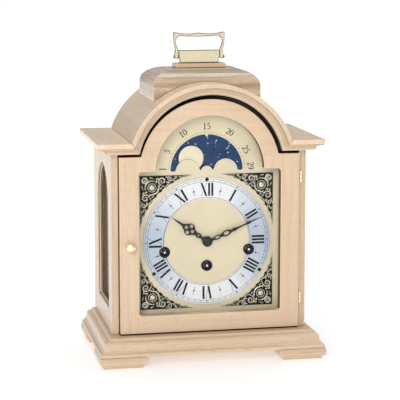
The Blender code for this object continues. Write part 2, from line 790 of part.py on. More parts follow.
def make_minute_hand():
    stations = [(-5.2, 0.0), (-3.7, 3.6), (0.0, 5.2), (3.7, 3.6), (5.8, 1.5), (7.6, 1.5),
                (10.0, 2.5), (13.5, 2.6), (16.0, 1.4), (18.0, 2.0), (21.0, 3.3), (25.0, 3.3),
                (28.5, 1.9), (30.5, 1.4), (33.0, 2.1), (36.5, 1.1), (46.0, 0.8), (50.0, 1.6),
                (54.0, 0.8), (MINUTE_HAND_LENGTH, 0.0)]
    holes = [hoop(0.0, 0.0, 1.9, 12), loop(11.9, 2.6, 1.3), loop(23.0, 3.3, 2.0)]
    outlines = [turn_hand(points, MINUTE_HAND_ANGLE) for points in [hand_side(stations), *holes]]
    return flat("minute_hand", outlines, *MINUTE_HAND_Y, DARK)


def make_hand_nut():
    """The domed nut that holds the minute hand on its arbor."""
    profile = [(0.0, 46.45), (2.8, 46.35), (4.3, 46.0), (4.9, 45.5), (1.3, 45.5), (1.3, 46.0),
               (0.0, 46.0)]
    return turned("hand_nut", profile, (0.0, 0.0, DIAL_Z), DARK, "FRONT", 24)


# Inside the case

def inner_outline(clear=GAP):
    """The case's inside, seen from the front, less a clearance."""
    half = CASE_INNER - clear
    radius = BARREL_INNER - clear
    level = CASE_TOP - clear
    return break_arch(half, BASE_TOP + GAP, level, ARCH_Z, radius, steps=28)


def make_mask():
    low, high = MASK_CUT_Z
    half = MASK_CUT_HALF
    cutout = [(-half, low), (half, low), (half, high), (-half, high)]
    outlines = [inner_outline(), cutout, hole(0.0, MOON_Z, 1.9, 12)]
    return flat("dial_mask", outlines, MASK_FRONT, MASK_FRONT + MASK_THICK, PLY)


def make_seat_board():
    top = PLATE_BOTTOM - GAP
    return box("seat_board", (GAP - CASE_INNER, MASK_FRONT + MASK_THICK + GAP, top - 8.0),
               (CASE_INNER - GAP, 20.0, top), PLY)


def plate_outline():
    """A movement plate, with its upper corners cut off."""
    half = PLATE_HALF
    return [(-half, PLATE_BOTTOM), (half, PLATE_BOTTOM), (half, 165.0), (40.0, PLATE_TOP),
            (-40.0, PLATE_TOP), (-half, 165.0)]


def plate_holes(radius):
    return [hole(x, z, radius, 12) for x, z in winding_places().values()]


def make_front_plate():
    centre = hole(0.0, DIAL_Z, 2.2, 12)
    low, high = FRONT_PLATE_Y
    return flat("movement_front_plate", [plate_outline(), centre, *plate_holes(3.2)], low, high, BRASS)


def make_back_plate():
    """The rear plate with its four pillars riveted in, so they are one piece."""
    low, high = BACK_PLATE_Y
    outlines = [plate_outline(), hole(0.0, DIAL_Z, 2.0, 12), hole(0.0, BALANCE_Z, 1.1, 8)]
    outlines.append(hole(HAMMER_X, HAMMER_Z, HAMMER_ARBOR_R + 0.3, 12))
    outlines += plate_holes(3.2)
    plate = flat("movement_back_plate", outlines, low, high, BRASS)
    length = low - FRONT_PLATE_Y[1] - GAP + 1.0
    for x, z in PILLARS:
        join(plate, rod("pillar", PILLAR_R, (x, low + 1.0, z), length, None, steps=12))
    return plate


def make_barrel_arbor(name, x, z):
    """A mainspring barrel on its winding arbor, whose front end is square for the key."""
    rim = BARREL_WHEEL_R
    drum = rim - 2
    profile = [(0.0, 34.0), (2.6, 34.0), (2.6, 20.0), (3.4, 20.0), (drum, 19.6), (drum, 17.0),
               (rim, 17.0), (rim, 15.0), (drum, 15.0), (drum, -9.0), (3.4, -9.0), (2.6, -10.0),
               (2.6, -18.0), (0.0, -18.0)]
    arbor = turned(name, profile, (x, 0.0, z), BRASS, "FRONT", 32)
    square = box("key_square", (x - 1.9, -41.6, z - 1.9), (x + 1.9, -33.0, z + 1.9), None)
    return join(arbor, square)


def make_minute_arbor():
    """The centre arbor with its wheel, the pinion of the motion work, and the hand's seat."""
    profile = [(0.0, 45.7), (1.0, 45.7), (1.0, 45.3), (1.6, 45.3), (1.6, 28.4), (4.8, 28.4),
               (4.8, 27.2), (1.6, 27.2), (1.6, 23.6), (12.0, 23.6), (12.0, 22.4), (1.6, 22.4),
               (1.6, -13.0), (0.0, -13.0)]
    return turned("minute_arbor", profile, (0.0, 0.0, DIAL_Z), BRASS, "FRONT", 24)


def make_hour_pipe():
    """The hour wheel on the pipe that carries the hour hand."""
    rim = 0.8 * MOTION_DISTANCE - 0.2
    profile = [(2.7, 44.2), (2.7, 31.0), (rim, 31.0), (rim, 29.8), (3.4, 29.8), (2.1, 29.0),
               (2.1, 44.2)]
    return turned("hour_pipe_wheel", profile, (0.0, 0.0, DIAL_Z), BRASS, "FRONT", 32, ring=True)


def make_motion_wheel():
    """The wheel and pinion on a stud that take the minute arbor's turning down to the hour pipe."""
    rim = 0.75 * MOTION_DISTANCE - 0.1
    profile = [(0.0, 31.4), (1.2, 31.4), (1.2, 31.0), (3.9, 31.0), (3.9, 28.6), (rim, 28.6),
               (rim, 27.0), (2.4, 27.0), (2.4, 26.4), (0.0, 26.4)]
    place = (0.0, 0.0, DIAL_Z + MOTION_DISTANCE)
    return turned("motion_wheel", profile, place, BRASS, "FRONT", 32)


def make_balance():
    """The balance on its staff, behind the back plate."""
    profile = [(0.0, -13.0), (0.8, -13.0), (0.8, -20.0), (9.0, -20.0), (9.0, -21.4),
               (0.8, -21.4), (0.8, -24.0), (0.0, -24.0)]
    return turned("balance_wheel", profile, (0.0, 0.0, BALANCE_Z), BRASS, "FRONT", 24)


def make_gong():
    """Tuned rods riveted into an iron block that stands on the base."""
    low = BASE_TOP + GAP
    left, right = GONG_BLOCK_X
    last = ROD_Y + ROD_PITCH * (ROD_COUNT - 1)
    block = box("gong_rods", (left, ROD_Y - 4.0, low), (right, last + 4.0, low + 20.0), DARK)
    for i in range(ROD_COUNT):
        start = (right - 2.0, ROD_Y + ROD_PITCH * i, ROD_Z)
        join(block, rod("gong_rod", ROD_R, start, ROD_LENGTH - ROD_SHORTER * i, None, "X", 8))
    return block


def make_hammers():
    """One hammer over each rod, on a rocking arbor that runs in the back plate."""
    back = ROD_Y + ROD_PITCH * (ROD_COUNT - 1) + 4.0
    front = BACK_PLATE_Y[0] - 1.5
    length = back - front
    arbor = rod("hammer_rack", HAMMER_ARBOR_R, (HAMMER_X, back, HAMMER_Z), length, STEEL, steps=12)
    head = ROD_Z + ROD_R + HAMMER_REST
    stem = head + HAMMER_HEAD_LENGTH / 2
    x = HAMMER_X + HAMMER_REACH
    for i in range(ROD_COUNT):
        y = ROD_Y + ROD_PITCH * i
        low = (HAMMER_X, y - 0.8, HAMMER_Z - 0.8)
        join(arbor, box("hammer_arm", low, (x, y + 0.8, HAMMER_Z + 0.8), None))
        length = HAMMER_Z + 0.5 - stem
        join(arbor, rod("hammer_stem", 0.9, (x, y, stem), length, None, "Z", 8))
        length = HAMMER_HEAD_LENGTH
        join(arbor, rod("hammer_head", HAMMER_HEAD_R, (x, y, head), length, None, "Z", 8))
    return arbor


# Rear board and door

def rear_outline(grow=0.0):
    half = REAR_HALF + grow
    points = [(-half, REAR_BOTTOM - grow), (half, REAR_BOTTOM - grow)]
    return points + arc(0.0, REAR_SPRING, half, 0, 180, 24)


def make_rear_frame():
    low, high = REAR_BOARD_Y
    return flat("back_frame", [inner_outline(), rear_outline()], low, high, WOOD)


def make_rear_door():
    low, high = REAR_BOARD_Y
    return flat("back_door", [rear_outline(-0.7)], low + 2.0, high, WOOD)


def make_rear_hinge():
    """A long surface hinge up the rear door's edge."""
    x, y = REAR_AXIS
    low, length = REAR_HINGE_Z, REAR_HINGE_LENGTH
    high = low + length
    front = REAR_BOARD_Y[1] + GAP
    frame_leaf = box("back_hinge_frame_leaf", (x + 1.6, front, low), (x + 9.0, y + 0.5, high), BRASS)
    door_leaf = box("back_hinge_door_leaf", (x - 9.0, front, low), (x - 1.6, y + 0.5, high), BRASS)
    join(frame_leaf, rod("rear_pin", 0.45, (x, y, low), length, None, "Z", 8))
    step = length / REAR_KNUCKLES
    for i in range(REAR_KNUCKLES):
        leaf, side = (frame_leaf, 1) if i % 2 == 0 else (door_leaf, -1)
        bottom = low + step * i
        top = bottom + step - GAP
        join(leaf, rod("rear_knuckle", REAR_KNUCKLE_R, (x, y, bottom), top - bottom, None, "Z", 10))
        near, far = sorted((x, x + side * 2.0))
        join(leaf, box("rear_web", (near, y - 0.3, bottom), (far, y + 0.3, top), None))
    cut(door_leaf, rod("rear_bore", 0.7, (x, y, low - 1.0), length + 2.0, None, "Z", 8))
    return frame_leaf, door_leaf


def make_rear_pull():
    """A small turned button that stands clear of the door's back."""
    face = -(REAR_BOARD_Y[1] + GAP)
    profile = [(0.0, face), (4.6, face), (4.6, face - 0.6), (4.0, face - 1.3), (2.0, face - 1.6),
               (0.0, face - 1.6)]
    return turned("back_door_pull", profile, (REAR_PULL_X, 0.0, REAR_PULL_Z), BRASS, "FRONT", 20)


# Assembly

def build():
    make_base()
    for side, side_name in ((-1, "left"), (1, "right")):
        make_foot("foot_front_" + side_name, side, -1)
        make_foot("foot_rear_" + side_name, side, 1)
        make_side("side_panel_" + side_name, side)
        make_side_glass("side_glass_" + side_name, side)
        make_side_cove("cornice_mould_" + side_name, side)
        make_shoulder("shoulder_board_" + side_name, side)
        make_bail_pin("handle_pivot_" + side_name, side)
    make_front_cove()
    make_barrel()
    make_bell()
    make_platform()
    make_pedestal()
    hang(pivot("bail_axis", (0.0, HANDLE_Y, BAIL_PIVOT_Z)), make_bail())

    door_leaves = []
    for name, z in zip(("door_hinge_lower", "door_hinge_upper"), DOOR_HINGE_Z):
        door_leaves.append(make_door_hinge(name, z)[1])
    door = pivot("door_axis", (*DOOR_AXIS, DOOR_HINGE_Z[0]))
    hang(door, make_door(), make_door_glass(), make_bead(), make_knob(), *door_leaves)

    make_mask()
    make_dial_plate()
    make_chapter_ring()
    for side, side_name in ((-1, "left"), (1, "right")):
        for end, end_name in ((-1, "lower"), (1, "upper")):
            make_spandrel(f"spandrel_{end_name}_{side_name}", side, end)
    hang(pivot("moon_axis", (0.0, DIAL_Y, MOON_Z)), make_moon_disc())
    for name, (x, z) in winding_places().items():
        make_collar(f"winding_collar_{name}", x, z)
        hang(pivot(name + "_axis", (x, 0.0, z)), make_barrel_arbor(name + "_barrel", x, z))

    hang(pivot("hour_axis", (0.0, DIAL_Y, DIAL_Z)), make_hour_hand(), make_hour_pipe())
    minute = pivot("minute_axis", (0.0, DIAL_Y, DIAL_Z))
    hang(minute, make_minute_hand(), make_hand_nut(), make_minute_arbor())
    hang(pivot("motion_axis", (0.0, DIAL_Y, DIAL_Z + MOTION_DISTANCE)), make_motion_wheel())
    make_seat_board()
    make_front_plate()
    make_back_plate()
    hang(pivot("balance_axis", (0.0, BACK_PLATE_Y[1], BALANCE_Z)), make_balance())
    make_gong()
    hang(pivot("hammer_axis", (HAMMER_X, BACK_PLATE_Y[1], HAMMER_Z)), make_hammers())

    make_rear_frame()
    door_leaf = make_rear_hinge()[1]
    rear = pivot("back_door_axis", (*REAR_AXIS, REAR_BOTTOM))
    hang(rear, make_rear_door(), make_rear_pull(), door_leaf)


build()
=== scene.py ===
"""Looks for the mantel clock: waxed pale wood, brass, the printed dial and a plain studio."""

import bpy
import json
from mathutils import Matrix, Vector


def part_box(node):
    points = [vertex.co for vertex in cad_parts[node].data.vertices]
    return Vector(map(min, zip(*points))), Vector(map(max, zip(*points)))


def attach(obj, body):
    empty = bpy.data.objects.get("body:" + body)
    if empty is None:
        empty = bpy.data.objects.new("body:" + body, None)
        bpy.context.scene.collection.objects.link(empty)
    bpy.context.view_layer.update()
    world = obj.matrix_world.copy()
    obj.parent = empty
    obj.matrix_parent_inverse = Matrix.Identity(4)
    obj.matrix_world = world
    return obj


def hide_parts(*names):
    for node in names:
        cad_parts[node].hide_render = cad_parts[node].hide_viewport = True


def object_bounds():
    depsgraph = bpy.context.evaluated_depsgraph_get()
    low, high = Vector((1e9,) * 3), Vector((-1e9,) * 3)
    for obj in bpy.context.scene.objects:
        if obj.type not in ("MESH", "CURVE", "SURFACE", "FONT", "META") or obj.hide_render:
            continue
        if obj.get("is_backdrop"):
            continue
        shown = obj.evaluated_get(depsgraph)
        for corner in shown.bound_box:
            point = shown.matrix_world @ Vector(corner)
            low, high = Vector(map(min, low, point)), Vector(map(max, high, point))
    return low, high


bl_info = {
    "name": "Mantel Clock",
    "version": (1, 0, 0),
    "blender": (4, 5, 0),
    "location": "3D View > Sidebar > Mantel Clock",
    "description": "Dresses the clock's frame with its wood, brass, dial work and studio",
    "category": "Object",
}

import json
from math import asin, cos, degrees, hypot, pi, radians, sin, sqrt
from random import Random

import bmesh
import bpy
from mathutils import Vector

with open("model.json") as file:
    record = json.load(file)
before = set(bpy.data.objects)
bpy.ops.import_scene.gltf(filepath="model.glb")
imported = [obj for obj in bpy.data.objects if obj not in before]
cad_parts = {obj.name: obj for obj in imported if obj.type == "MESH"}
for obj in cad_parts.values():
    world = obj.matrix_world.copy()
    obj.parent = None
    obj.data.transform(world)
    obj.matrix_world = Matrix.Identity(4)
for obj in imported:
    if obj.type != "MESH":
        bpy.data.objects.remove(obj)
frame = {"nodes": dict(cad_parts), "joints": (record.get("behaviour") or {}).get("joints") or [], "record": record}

MM = 0.001
PIVOT = {joint["name"]: Vector(joint["pos_m"]) for joint in frame["joints"]}
BODY_OF = {}
for body_name, members in frame["record"]["behaviour"]["bodies"].items():
    for member in members:
        BODY_OF[member] = body_name

DOOR_LOW, DOOR_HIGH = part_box("door_frame")
DIAL_CENTRE = PIVOT["minute_turn"].z
MOON_CENTRE = PIVOT["moon_turn"].z
RING_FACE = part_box("chapter_ring")[0].y
PLATE_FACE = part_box("dial_plate")[0].y

# The case's arches: heights of their centres, and radii
HOOD_CENTRE = 0.2130
HOOD_INSIDE = 0.0884
LIP_CURVE = 0.0806
DOOR_CURVE = 0.0778
DOOR_CROWN = DOOR_HIGH.z - DOOR_CURVE
VIEW_CURVE = 0.0602
VIEW_EDGE = 0.0790  # half the width of the door's opening
VIEW_SHELF = 0.2112  # where the opening steps in under its arch

COAT = 0.65  # weight of the wax over the wood
BED = 0.00002  # how far ink reaches into the metal under it


# Settings

def length(name, description, default):
    return bpy.props.FloatProperty(name=name, description=description, default=default, unit="LENGTH")


def colour(name, description, default):
    return bpy.props.FloatVectorProperty(name=name, description=description, default=default,
                                         size=3, min=0.0, max=1.0, subtype="COLOR")


class ClockSizes(bpy.types.PropertyGroup):
    wood_edge: length("Wood edge", "Rounding of the wooden pieces' edges", 0.0007)
    brass_edge: length("Brass edge", "Rounding of the brass pieces' edges", 0.0004)
    ink: length("Ink", "How far printed figures stand off the metal", 0.00004)
    numeral_foot: length("Numeral foot", "Distance of the hour figures' feet from the centre", 0.0508)
    numeral_height: length("Numeral height", "Height of the hour figures", 0.0143)
    track_inner: length("Track inside", "Radius of the minute track's inner line", 0.0668)
    track_outer: length("Track outside", "Radius of the minute track's outer line", 0.0694)
    day_radius: length("Day radius", "Radius at the middle of the moon's day figures", 0.0497)
    day_height: length("Day height", "Height of the moon's day figures", 0.0070)
    moon_radius: length("Moon radius", "Radius of each painted moon", 0.0138)
    relief: length("Relief", "Height of the spandrels' scrollwork", 0.0011)


class ClockFinishes(bpy.types.PropertyGroup):
    wood_pale: colour("Pale wood", "Lightest tone of the wood", (0.80, 0.615, 0.43))
    wood_deep: colour("Deep wood", "Tone of the wood's grain lines", (0.60, 0.405, 0.245))
    brass: colour("Brass", "Polished brass", (0.93, 0.83, 0.58))
    cream: colour("Cream", "The dial plate's paint", (0.78, 0.69, 0.49))
    silver: colour("Silver", "The hour ring's brushed face", (0.50, 0.57, 0.68))
    ink: colour("Ink", "Printed figures and lines", (0.012, 0.012, 0.014))
    night: colour("Night", "The moon disc's sky", (0.004, 0.034, 0.112))
    moon: colour("Moon", "The painted moons", (0.86, 0.78, 0.58))
    gilt: colour("Gilt", "The spandrels' raised scrolls", (1.0, 0.95, 0.76))


def sizes():
    return bpy.context.scene.clock_sizes


def finishes():
    return bpy.context.scene.clock_finishes


# Shader writing

class Value:
    """A shader socket that adds Math nodes when it is used in an expression."""

    def __init__(self, recipe, socket):
        self.recipe = recipe
        self.socket = socket

    def _math(self, operation, *operands):
        sockets = dict(enumerate(operands))
        return self.recipe.node("ShaderNodeMath", {"operation": operation}, sockets)

    def __add__(self, other):
        return self._math("ADD", self, other)

    def __radd__(self, other):
        return self._math("ADD", other, self)

    def __sub__(self, other):
        return self._math("SUBTRACT", self, other)

    def __rsub__(self, other):
        return self._math("SUBTRACT", other, self)

    def __mul__(self, other):
        return self._math("MULTIPLY", self, other)

    def __rmul__(self, other):
        return self._math("MULTIPLY", other, self)

    def __pow__(self, other):
        return self._math("POWER", self, other)

    def __abs__(self):
        return self._math("ABSOLUTE", self)

    def __lt__(self, other):
        return self._math("LESS_THAN", self, other)

    def __gt__(self, other):
        return self._math("GREATER_THAN", self, other)

    def sine(self):
        return self._math("SINE", self)

    def angle_from(self, other):
        return self._math("ARCTAN2", self, other)

    def at_least(self, other):
        return self._math("MAXIMUM", self, other)


def distance(first, second):
    """How far a point is from where both values are zero."""
    return (first * first + second * second) ** 0.5


class Recipe:
    """The node tree of a material or the world, written as expressions."""

    def __init__(self, owner, shader):
        owner.use_nodes = True
        self.owner = owner
        self.tree = owner.node_tree
        self.shader = self.tree.nodes[shader]

    def node(self, kind, settings, sockets, output=0):
        """Add a node: settings first, then its sockets' values or links. Returns one output."""
        made = self.tree.nodes.new(kind)
        for key, setting in settings.items():
            setattr(made, key, setting)
        for key, given in sockets.items():
            self.feed(made.inputs[key], given)
        return Value(self, made.outputs[output])

    def feed(self, socket, given):
        """Link or set a socket. A colour of three parts gets a full alpha."""
        if isinstance(given, Value):
            self.tree.links.new(given.socket, socket)
        elif hasattr(given, "__len__") and len(given) == 3 and len(socket.default_value) == 4:
            socket.default_value = (*given, 1.0)
        else:
            socket.default_value = given

    def place(self):
        return self.node("ShaderNodeTexCoord", {}, {}, "Object")

    def axes(self):
        """The object's own X, Y and Z as three numbers."""
        parts = self.node("ShaderNodeSeparateXYZ", {}, {0: self.place()}).socket.node
        return [Value(self, parts.outputs[letter]) for letter in "XYZ"]

    def fed(self, name):
        """What already feeds one of the shader's sockets."""
        return Value(self, self.shader.inputs[name].links[0].from_socket)

    def stretch(self, vector, factors):
        return self.node("ShaderNodeVectorMath", {"operation": "MULTIPLY"}, {0: vector, 1: factors})

    def shift(self, vector, offset):
        return self.node("ShaderNodeVectorMath", {"operation": "ADD"}, {0: vector, 1: offset})

    def noise(self, vector, scale, detail=2.0, roughness=0.5):
        sockets = {"Vector": vector, "Scale": scale, "Detail": detail, "Roughness": roughness}
        return self.node("ShaderNodeTexNoise", {}, sockets)

    def ramp(self, factor, low, high):
        """Stretch low..high of a value over 0..1."""
        sockets = {"Value": factor, "From Min": low, "From Max": high}
        return self.node("ShaderNodeMapRange", {"clamp": True}, sockets)

    def mix(self, factor, first, second):
        sockets = {0: factor, 6: first, 7: second}
        return self.node("ShaderNodeMix", {"data_type": "RGBA"}, sockets, 2)

    def mix_vector(self, factor, first, second):
        sockets = {0: factor, 4: first, 5: second}
        return self.node("ShaderNodeMix", {"data_type": "VECTOR"}, sockets, 1)

    def bump(self, height, strength, distance=0.0002):
        sockets = {"Height": height, "Strength": strength, "Distance": distance}
        return self.node("ShaderNodeBump", {}, sockets)

    def finish(self, **sockets):
        """Feed the shader. An underscore in a socket's name stands for a space."""
        for key, given in sockets.items():
            self.feed(self.shader.inputs[key.replace("_", " ")], given)
        return self.owner


MATERIALS = {}


def kept(name, make, *details):
    """A material by name, made the first time it is asked for."""
    if name not in MATERIALS:
        recipe = Recipe(bpy.data.materials.new(name), "Principled BSDF")
        MATERIALS[name] = make(recipe, *details)
    return MATERIALS[name]


def tint(tone, factor):
    return tuple(min(1.0, part * factor) for part in tone)


def grey(level):
    return (level, level, level)


# How the wood's figure is drawn out along its grain, and the dark tone of painted shade in its corners, undersides
# and reveals
GRAIN = {"X": (0.045, 1.0, 1.0), "Y": (1.0, 0.045, 1.0), "Z": (1.0, 1.0, 0.045)}
PAINTED_SHADE_TONE = (0.020, 0.012, 0.006)


def grained(recipe, place, pale, deep, figure, gloss):
    """The wood's own look from a place already stretched along its grain."""
    drift = recipe.noise(place, 34.0, 2.0, 0.5)
    wander = recipe.noise(place, 70.0, 3.0, 0.55)
    bands = recipe.noise(place, 210.0, 4.0, 0.62)
    lines = recipe.ramp(bands + wander * 0.35, 0.50, 0.86)
    fibre = recipe.noise(place, 1500.0, 2.0, 0.6)
    pores = recipe.ramp(recipe.noise(place, 2600.0, 1.0, 0.5), 0.60, 0.72)
    tone = recipe.mix(recipe.ramp(drift, 0.30, 0.70), tint(pale, 0.93), tint(pale, 1.05))
    tone = recipe.mix(lines * figure, tone, deep)
    tone = recipe.mix(recipe.ramp(fibre, 0.35, 0.65) * 0.16, tone, tint(deep, 0.9))
    tone = recipe.mix(pores * (0.30 + 0.4 * figure), tone, tint(deep, 0.55))
    rough = gloss + 0.12 * fibre + 0.10 * pores
    height = fibre * 0.5 + lines * 0.35 - pores * 0.8
    return recipe.finish(Base_Color=tone, Roughness=rough,
                         Normal=recipe.bump(height, 0.16, 0.0004),
                         Coat_Weight=COAT, Coat_Roughness=0.24)


def darkened(recipe, mask, strength):
    """Painted shade where the mask is one: darker, duller and without the coat's shine."""
    tone = recipe.mix(mask * strength, recipe.fed("Base Color"), PAINTED_SHADE_TONE)
    duller = recipe.fed("Roughness") + mask * 0.4
    return recipe.finish(Base_Color=tone, Roughness=duller, Coat_Weight=COAT - mask * COAT)


def straight_wood(recipe, along, lightness, figure, seed):
    """Wood with its grain along one axis. The seed moves it to another part of the plank."""
    look = finishes()
    place = recipe.shift(recipe.place(), (0.31 * seed, 0.17 * seed, 0.23 * seed))
    place = recipe.stretch(place, GRAIN[along])
    pale = tint(look.wood_pale, lightness)
    return grained(recipe, place, pale, tint(look.wood_deep, lightness), figure, 0.36)


def mitred_wood(recipe, low, high, lightness, figure, depth=1.0):
    """Grain that runs along the front and turns down each side at a mitre."""
    look = finishes()
    rear_skin, hairline = 0.0008, 0.00016
    place = recipe.place()
    across, back, _ = recipe.axes()
    from_side = high.x - abs(across)
    from_front = back - low.y
    side = (from_side < from_front) * (from_front < high.y - low.y - rear_skin)
    along_front = recipe.stretch(place, GRAIN["X"])
    along_side = recipe.shift(recipe.stretch(place, GRAIN["Y"]), (0.4, 0.2, 0.3))
    grained(recipe, recipe.mix_vector(side, along_front, along_side),
            tint(look.wood_pale, lightness), tint(look.wood_deep, lightness * depth), figure, 0.36)
    seam = abs(from_side - from_front) < hairline
    tone = recipe.mix(seam * 0.55, recipe.fed("Base Color"), tint(look.wood_deep, 0.45))
    return recipe.finish(Base_Color=tone)


def wood(along, lightness, figure, seed):
    name = f"wood_{along}_{round(lightness * 100)}_{round(figure * 100)}_{seed}"
    return kept(name, straight_wood, along, lightness, figure, seed)


def brass_look(recipe, tone, rough, brushed):
    """Lacquered brass with faint scratches and duller patches."""
    place = recipe.place()
    cloud = recipe.noise(place, 90.0, 3.0, 0.6)
    scratch = recipe.noise(recipe.stretch(place, brushed), 900.0, 3.0, 0.6)
    speck = recipe.ramp(recipe.noise(place, 700.0, 2.0, 0.7), 0.66, 0.80)
    shade = recipe.mix(recipe.ramp(cloud, 0.35, 0.75) * 0.35, tone, tint(tone, 0.82))
    shade = recipe.mix(speck * 0.35, shade, (tone[0] * 0.55, tone[1] * 0.45, tone[2] * 0.30))
    return recipe.finish(Base_Color=shade, Metallic=1.0,
                         Roughness=rough + 0.10 * cloud + 0.08 * scratch + 0.2 * speck,
                         Normal=recipe.bump(scratch, 0.10))


def brass():
    return kept("brass_polished", brass_look, tuple(finishes().brass), 0.16, (1.0, 1.0, 0.2))


def brass_plain():
    return kept("brass_brushed", brass_look, tint(finishes().brass, 0.88), 0.30, (0.06, 1.0, 1.0))


def steel_look(recipe, tone, rough):
    place = recipe.place()
    cloud = recipe.noise(place, 160.0, 3.0, 0.6)
    scratch = recipe.noise(recipe.stretch(place, (1.0, 0.1, 1.0)), 1200.0, 2.0, 0.6)
    shade = recipe.mix(recipe.ramp(cloud, 0.3, 0.7) * 0.4, tone, tint(tone, 0.7))
    return recipe.finish(Base_Color=shade, Metallic=1.0, Roughness=rough + 0.18 * cloud,
                         Normal=recipe.bump(scratch, 0.12))


def steel():
    return kept("steel_turned", steel_look, (0.80, 0.80, 0.81), 0.20)


def black_look(recipe, tone, rough):
    """Blued black steel, a little worn."""
    place = recipe.place()
    cloud = recipe.noise(place, 240.0, 4.0, 0.6)
    worn = recipe.ramp(cloud, 0.56, 0.80)
    shade = recipe.mix(worn * 0.5, tone, tint(tone, 3.0))
    return recipe.finish(Base_Color=shade, Metallic=0.2, Roughness=rough + 0.25 * worn,
                         Specular_IOR_Level=0.22, Normal=recipe.bump(cloud, 0.08))


def black():
    return kept("black_steel", black_look, (0.012, 0.012, 0.014), 0.26)


def paint_look(recipe, tone, rough, mottle, shine=0.5):
    """Satin paint with a slight orange peel and a few paler and darker patches."""
    place = recipe.place()
    cloud = recipe.noise(place, 38.0, 3.0, 0.55)
    peel = recipe.noise(place, 1300.0, 2.0, 0.5)
    shade = recipe.mix(recipe.ramp(cloud, 0.32, 0.68), tint(tone, 1 - mottle), tint(tone, 1 + mottle))
    return recipe.finish(Base_Color=shade, Roughness=rough + 0.10 * cloud,
                         Specular_IOR_Level=shine, Normal=recipe.bump(peel, 0.05))


def round_brushing(recipe, across, up, pitch, scale, roughness):
    """Fine scratches that run round the hands' centre."""
    turning = {0: distance(across, up), 1: up.angle_from(across) * pitch}
    return recipe.noise(recipe.node("ShaderNodeCombineXYZ", {}, turning), scale, 3.0, roughness)


def cream_look(recipe, tone):
    """Cream lacquer over fine circular brushing, with painted light where the plate meets the door's frame."""
    margin_start, margin_end = 0.0725, 0.0775
    across, _, height = recipe.axes()
    up = height - DIAL_CENTRE
    brushing = round_brushing(recipe, across, up, 0.0006, 2600.0, 0.6)
    cloud = recipe.noise(recipe.place(), 30.0, 3.0, 0.5)
    shade = recipe.mix(recipe.ramp(cloud, 0.3, 0.7), tint(tone, 0.96), tint(tone, 1.05))
    shade = recipe.mix(recipe.ramp(brushing, 0.35, 0.65) * 0.14, shade, tint(tone, 0.78))
    # Painted light: paler towards the opening's sides and foot, against the shade of the door's reveal
    painted_light_margin = recipe.ramp(abs(across).at_least(0.0 - up), margin_start, margin_end)
    shade = recipe.mix(painted_light_margin * (height < VIEW_SHELF) * 0.8, shade, tint(tone, 1.24))
    return recipe.finish(Base_Color=shade, Metallic=0.15, Roughness=0.36 + 0.12 * brushing,
                         Normal=recipe.bump(brushing, 0.05))


def cream():
    return kept("cream_lacquer", cream_look, tuple(finishes().cream))


def silver_look(recipe, tone):
    """Silvering brushed round the ring, with a painted sheen in soft rays: blue-grey silver turning near white by
    the angle round the centre.
    """
    across, _, height = recipe.axes()
    up = height - DIAL_CENTRE
    turn = up.angle_from(across)
    brushing = round_brushing(recipe, across, up, 0.0008, 2400.0, 0.65)
    # Painted sheen: palest near the top and bottom, blue-grey near the sides, stirred by a little noise
    painted_rays = 0.5 - (turn * 2.0 + 1.45).sine() * 0.5
    fan = recipe.noise(recipe.node("ShaderNodeCombineXYZ", {}, {0: turn}), 5.0, 2.0, 0.5)
    painted_sheen = recipe.ramp(painted_rays * 0.8 + fan * 0.5, 0.25, 0.95)
    shade = recipe.mix(painted_sheen, tone, (0.88, 0.89, 0.90))
    shade = recipe.mix(recipe.ramp(brushing, 0.35, 0.65) * 0.16, shade, tint(tone, 0.72))
    return recipe.finish(Base_Color=shade, Metallic=0.30, Roughness=0.30 + 0.14 * brushing,
                         Normal=recipe.bump(brushing, 0.06))


def silver():
    return kept("silvered_ring", silver_look, tuple(finishes().silver))


def ink():
    return kept("printing_ink", paint_look, tuple(finishes().ink), 0.42, 0.25, 0.08)


def ink_soft():
    return kept("printing_ink_fine", paint_look, (0.11, 0.115, 0.13), 0.45, 0.15, 0.1)


def night_look(recipe, tone):
    """A night sky in clouds of two blues, with a powder of faint stars."""
    place = recipe.place()
    cloud = recipe.noise(place, 60.0, 4.0, 0.6)
    powder = recipe.ramp(recipe.noise(place, 1900.0, 1.0, 0.5), 0.71, 0.76)
    shade = recipe.mix(recipe.ramp(cloud, 0.3, 0.7), tint(tone, 0.75), tint(tone, 1.45))
    shade = recipe.mix(powder * 0.35, shade, (0.55, 0.65, 0.75))
    return recipe.finish(Base_Color=shade, Roughness=0.34 + 0.12 * cloud,
                         Specular_IOR_Level=0.12)


def moon_look(recipe, tone):
    """Cream paint with faint grey seas."""
    place = recipe.place()
    seas = recipe.ramp(recipe.noise(place, 120.0, 3.0, 0.5), 0.50, 0.72)
    grain = recipe.noise(place, 1100.0, 2.0, 0.5)
    shade = recipe.mix(seas * 0.30, tone, (0.60, 0.56, 0.46))
    return recipe.finish(Base_Color=shade, Roughness=0.40 + 0.10 * grain,
                         Normal=recipe.bump(grain, 0.06))


def gilt_look(recipe, tone):
    """Gilding rubbed bright and dull in random patches."""
    place = recipe.place()
    rub = recipe.noise(place, 420.0, 3.0, 0.6)
    shade = recipe.mix(recipe.ramp(rub, 0.35, 0.70), tint(tone, 0.62), tone)
    return recipe.finish(Base_Color=shade, Metallic=0.35, Roughness=0.26 + 0.22 * rub,
                         Normal=recipe.bump(rub, 0.15, 0.0003))


def glass_look(recipe):
    """Thin clear glass: see-through face on, and mirror-like at a glance."""
    edge = recipe.node("ShaderNodeFresnel", {}, {"IOR": 1.45})
    smear = recipe.noise(recipe.place(), 24.0, 3.0, 0.6)
    return recipe.finish(Base_Color=(0.90, 0.95, 0.95), Metallic=1.0,
                         Roughness=0.02 + 0.03 * smear, Alpha=0.002 + edge * 0.24)


def board_look(recipe):
    """Plain inner plywood with a rotary-cut figure."""
    place = recipe.stretch(recipe.place(), GRAIN["X"])
    return grained(recipe, place, (0.44, 0.31, 0.19), (0.26, 0.17, 0.10), 0.6, 0.6)


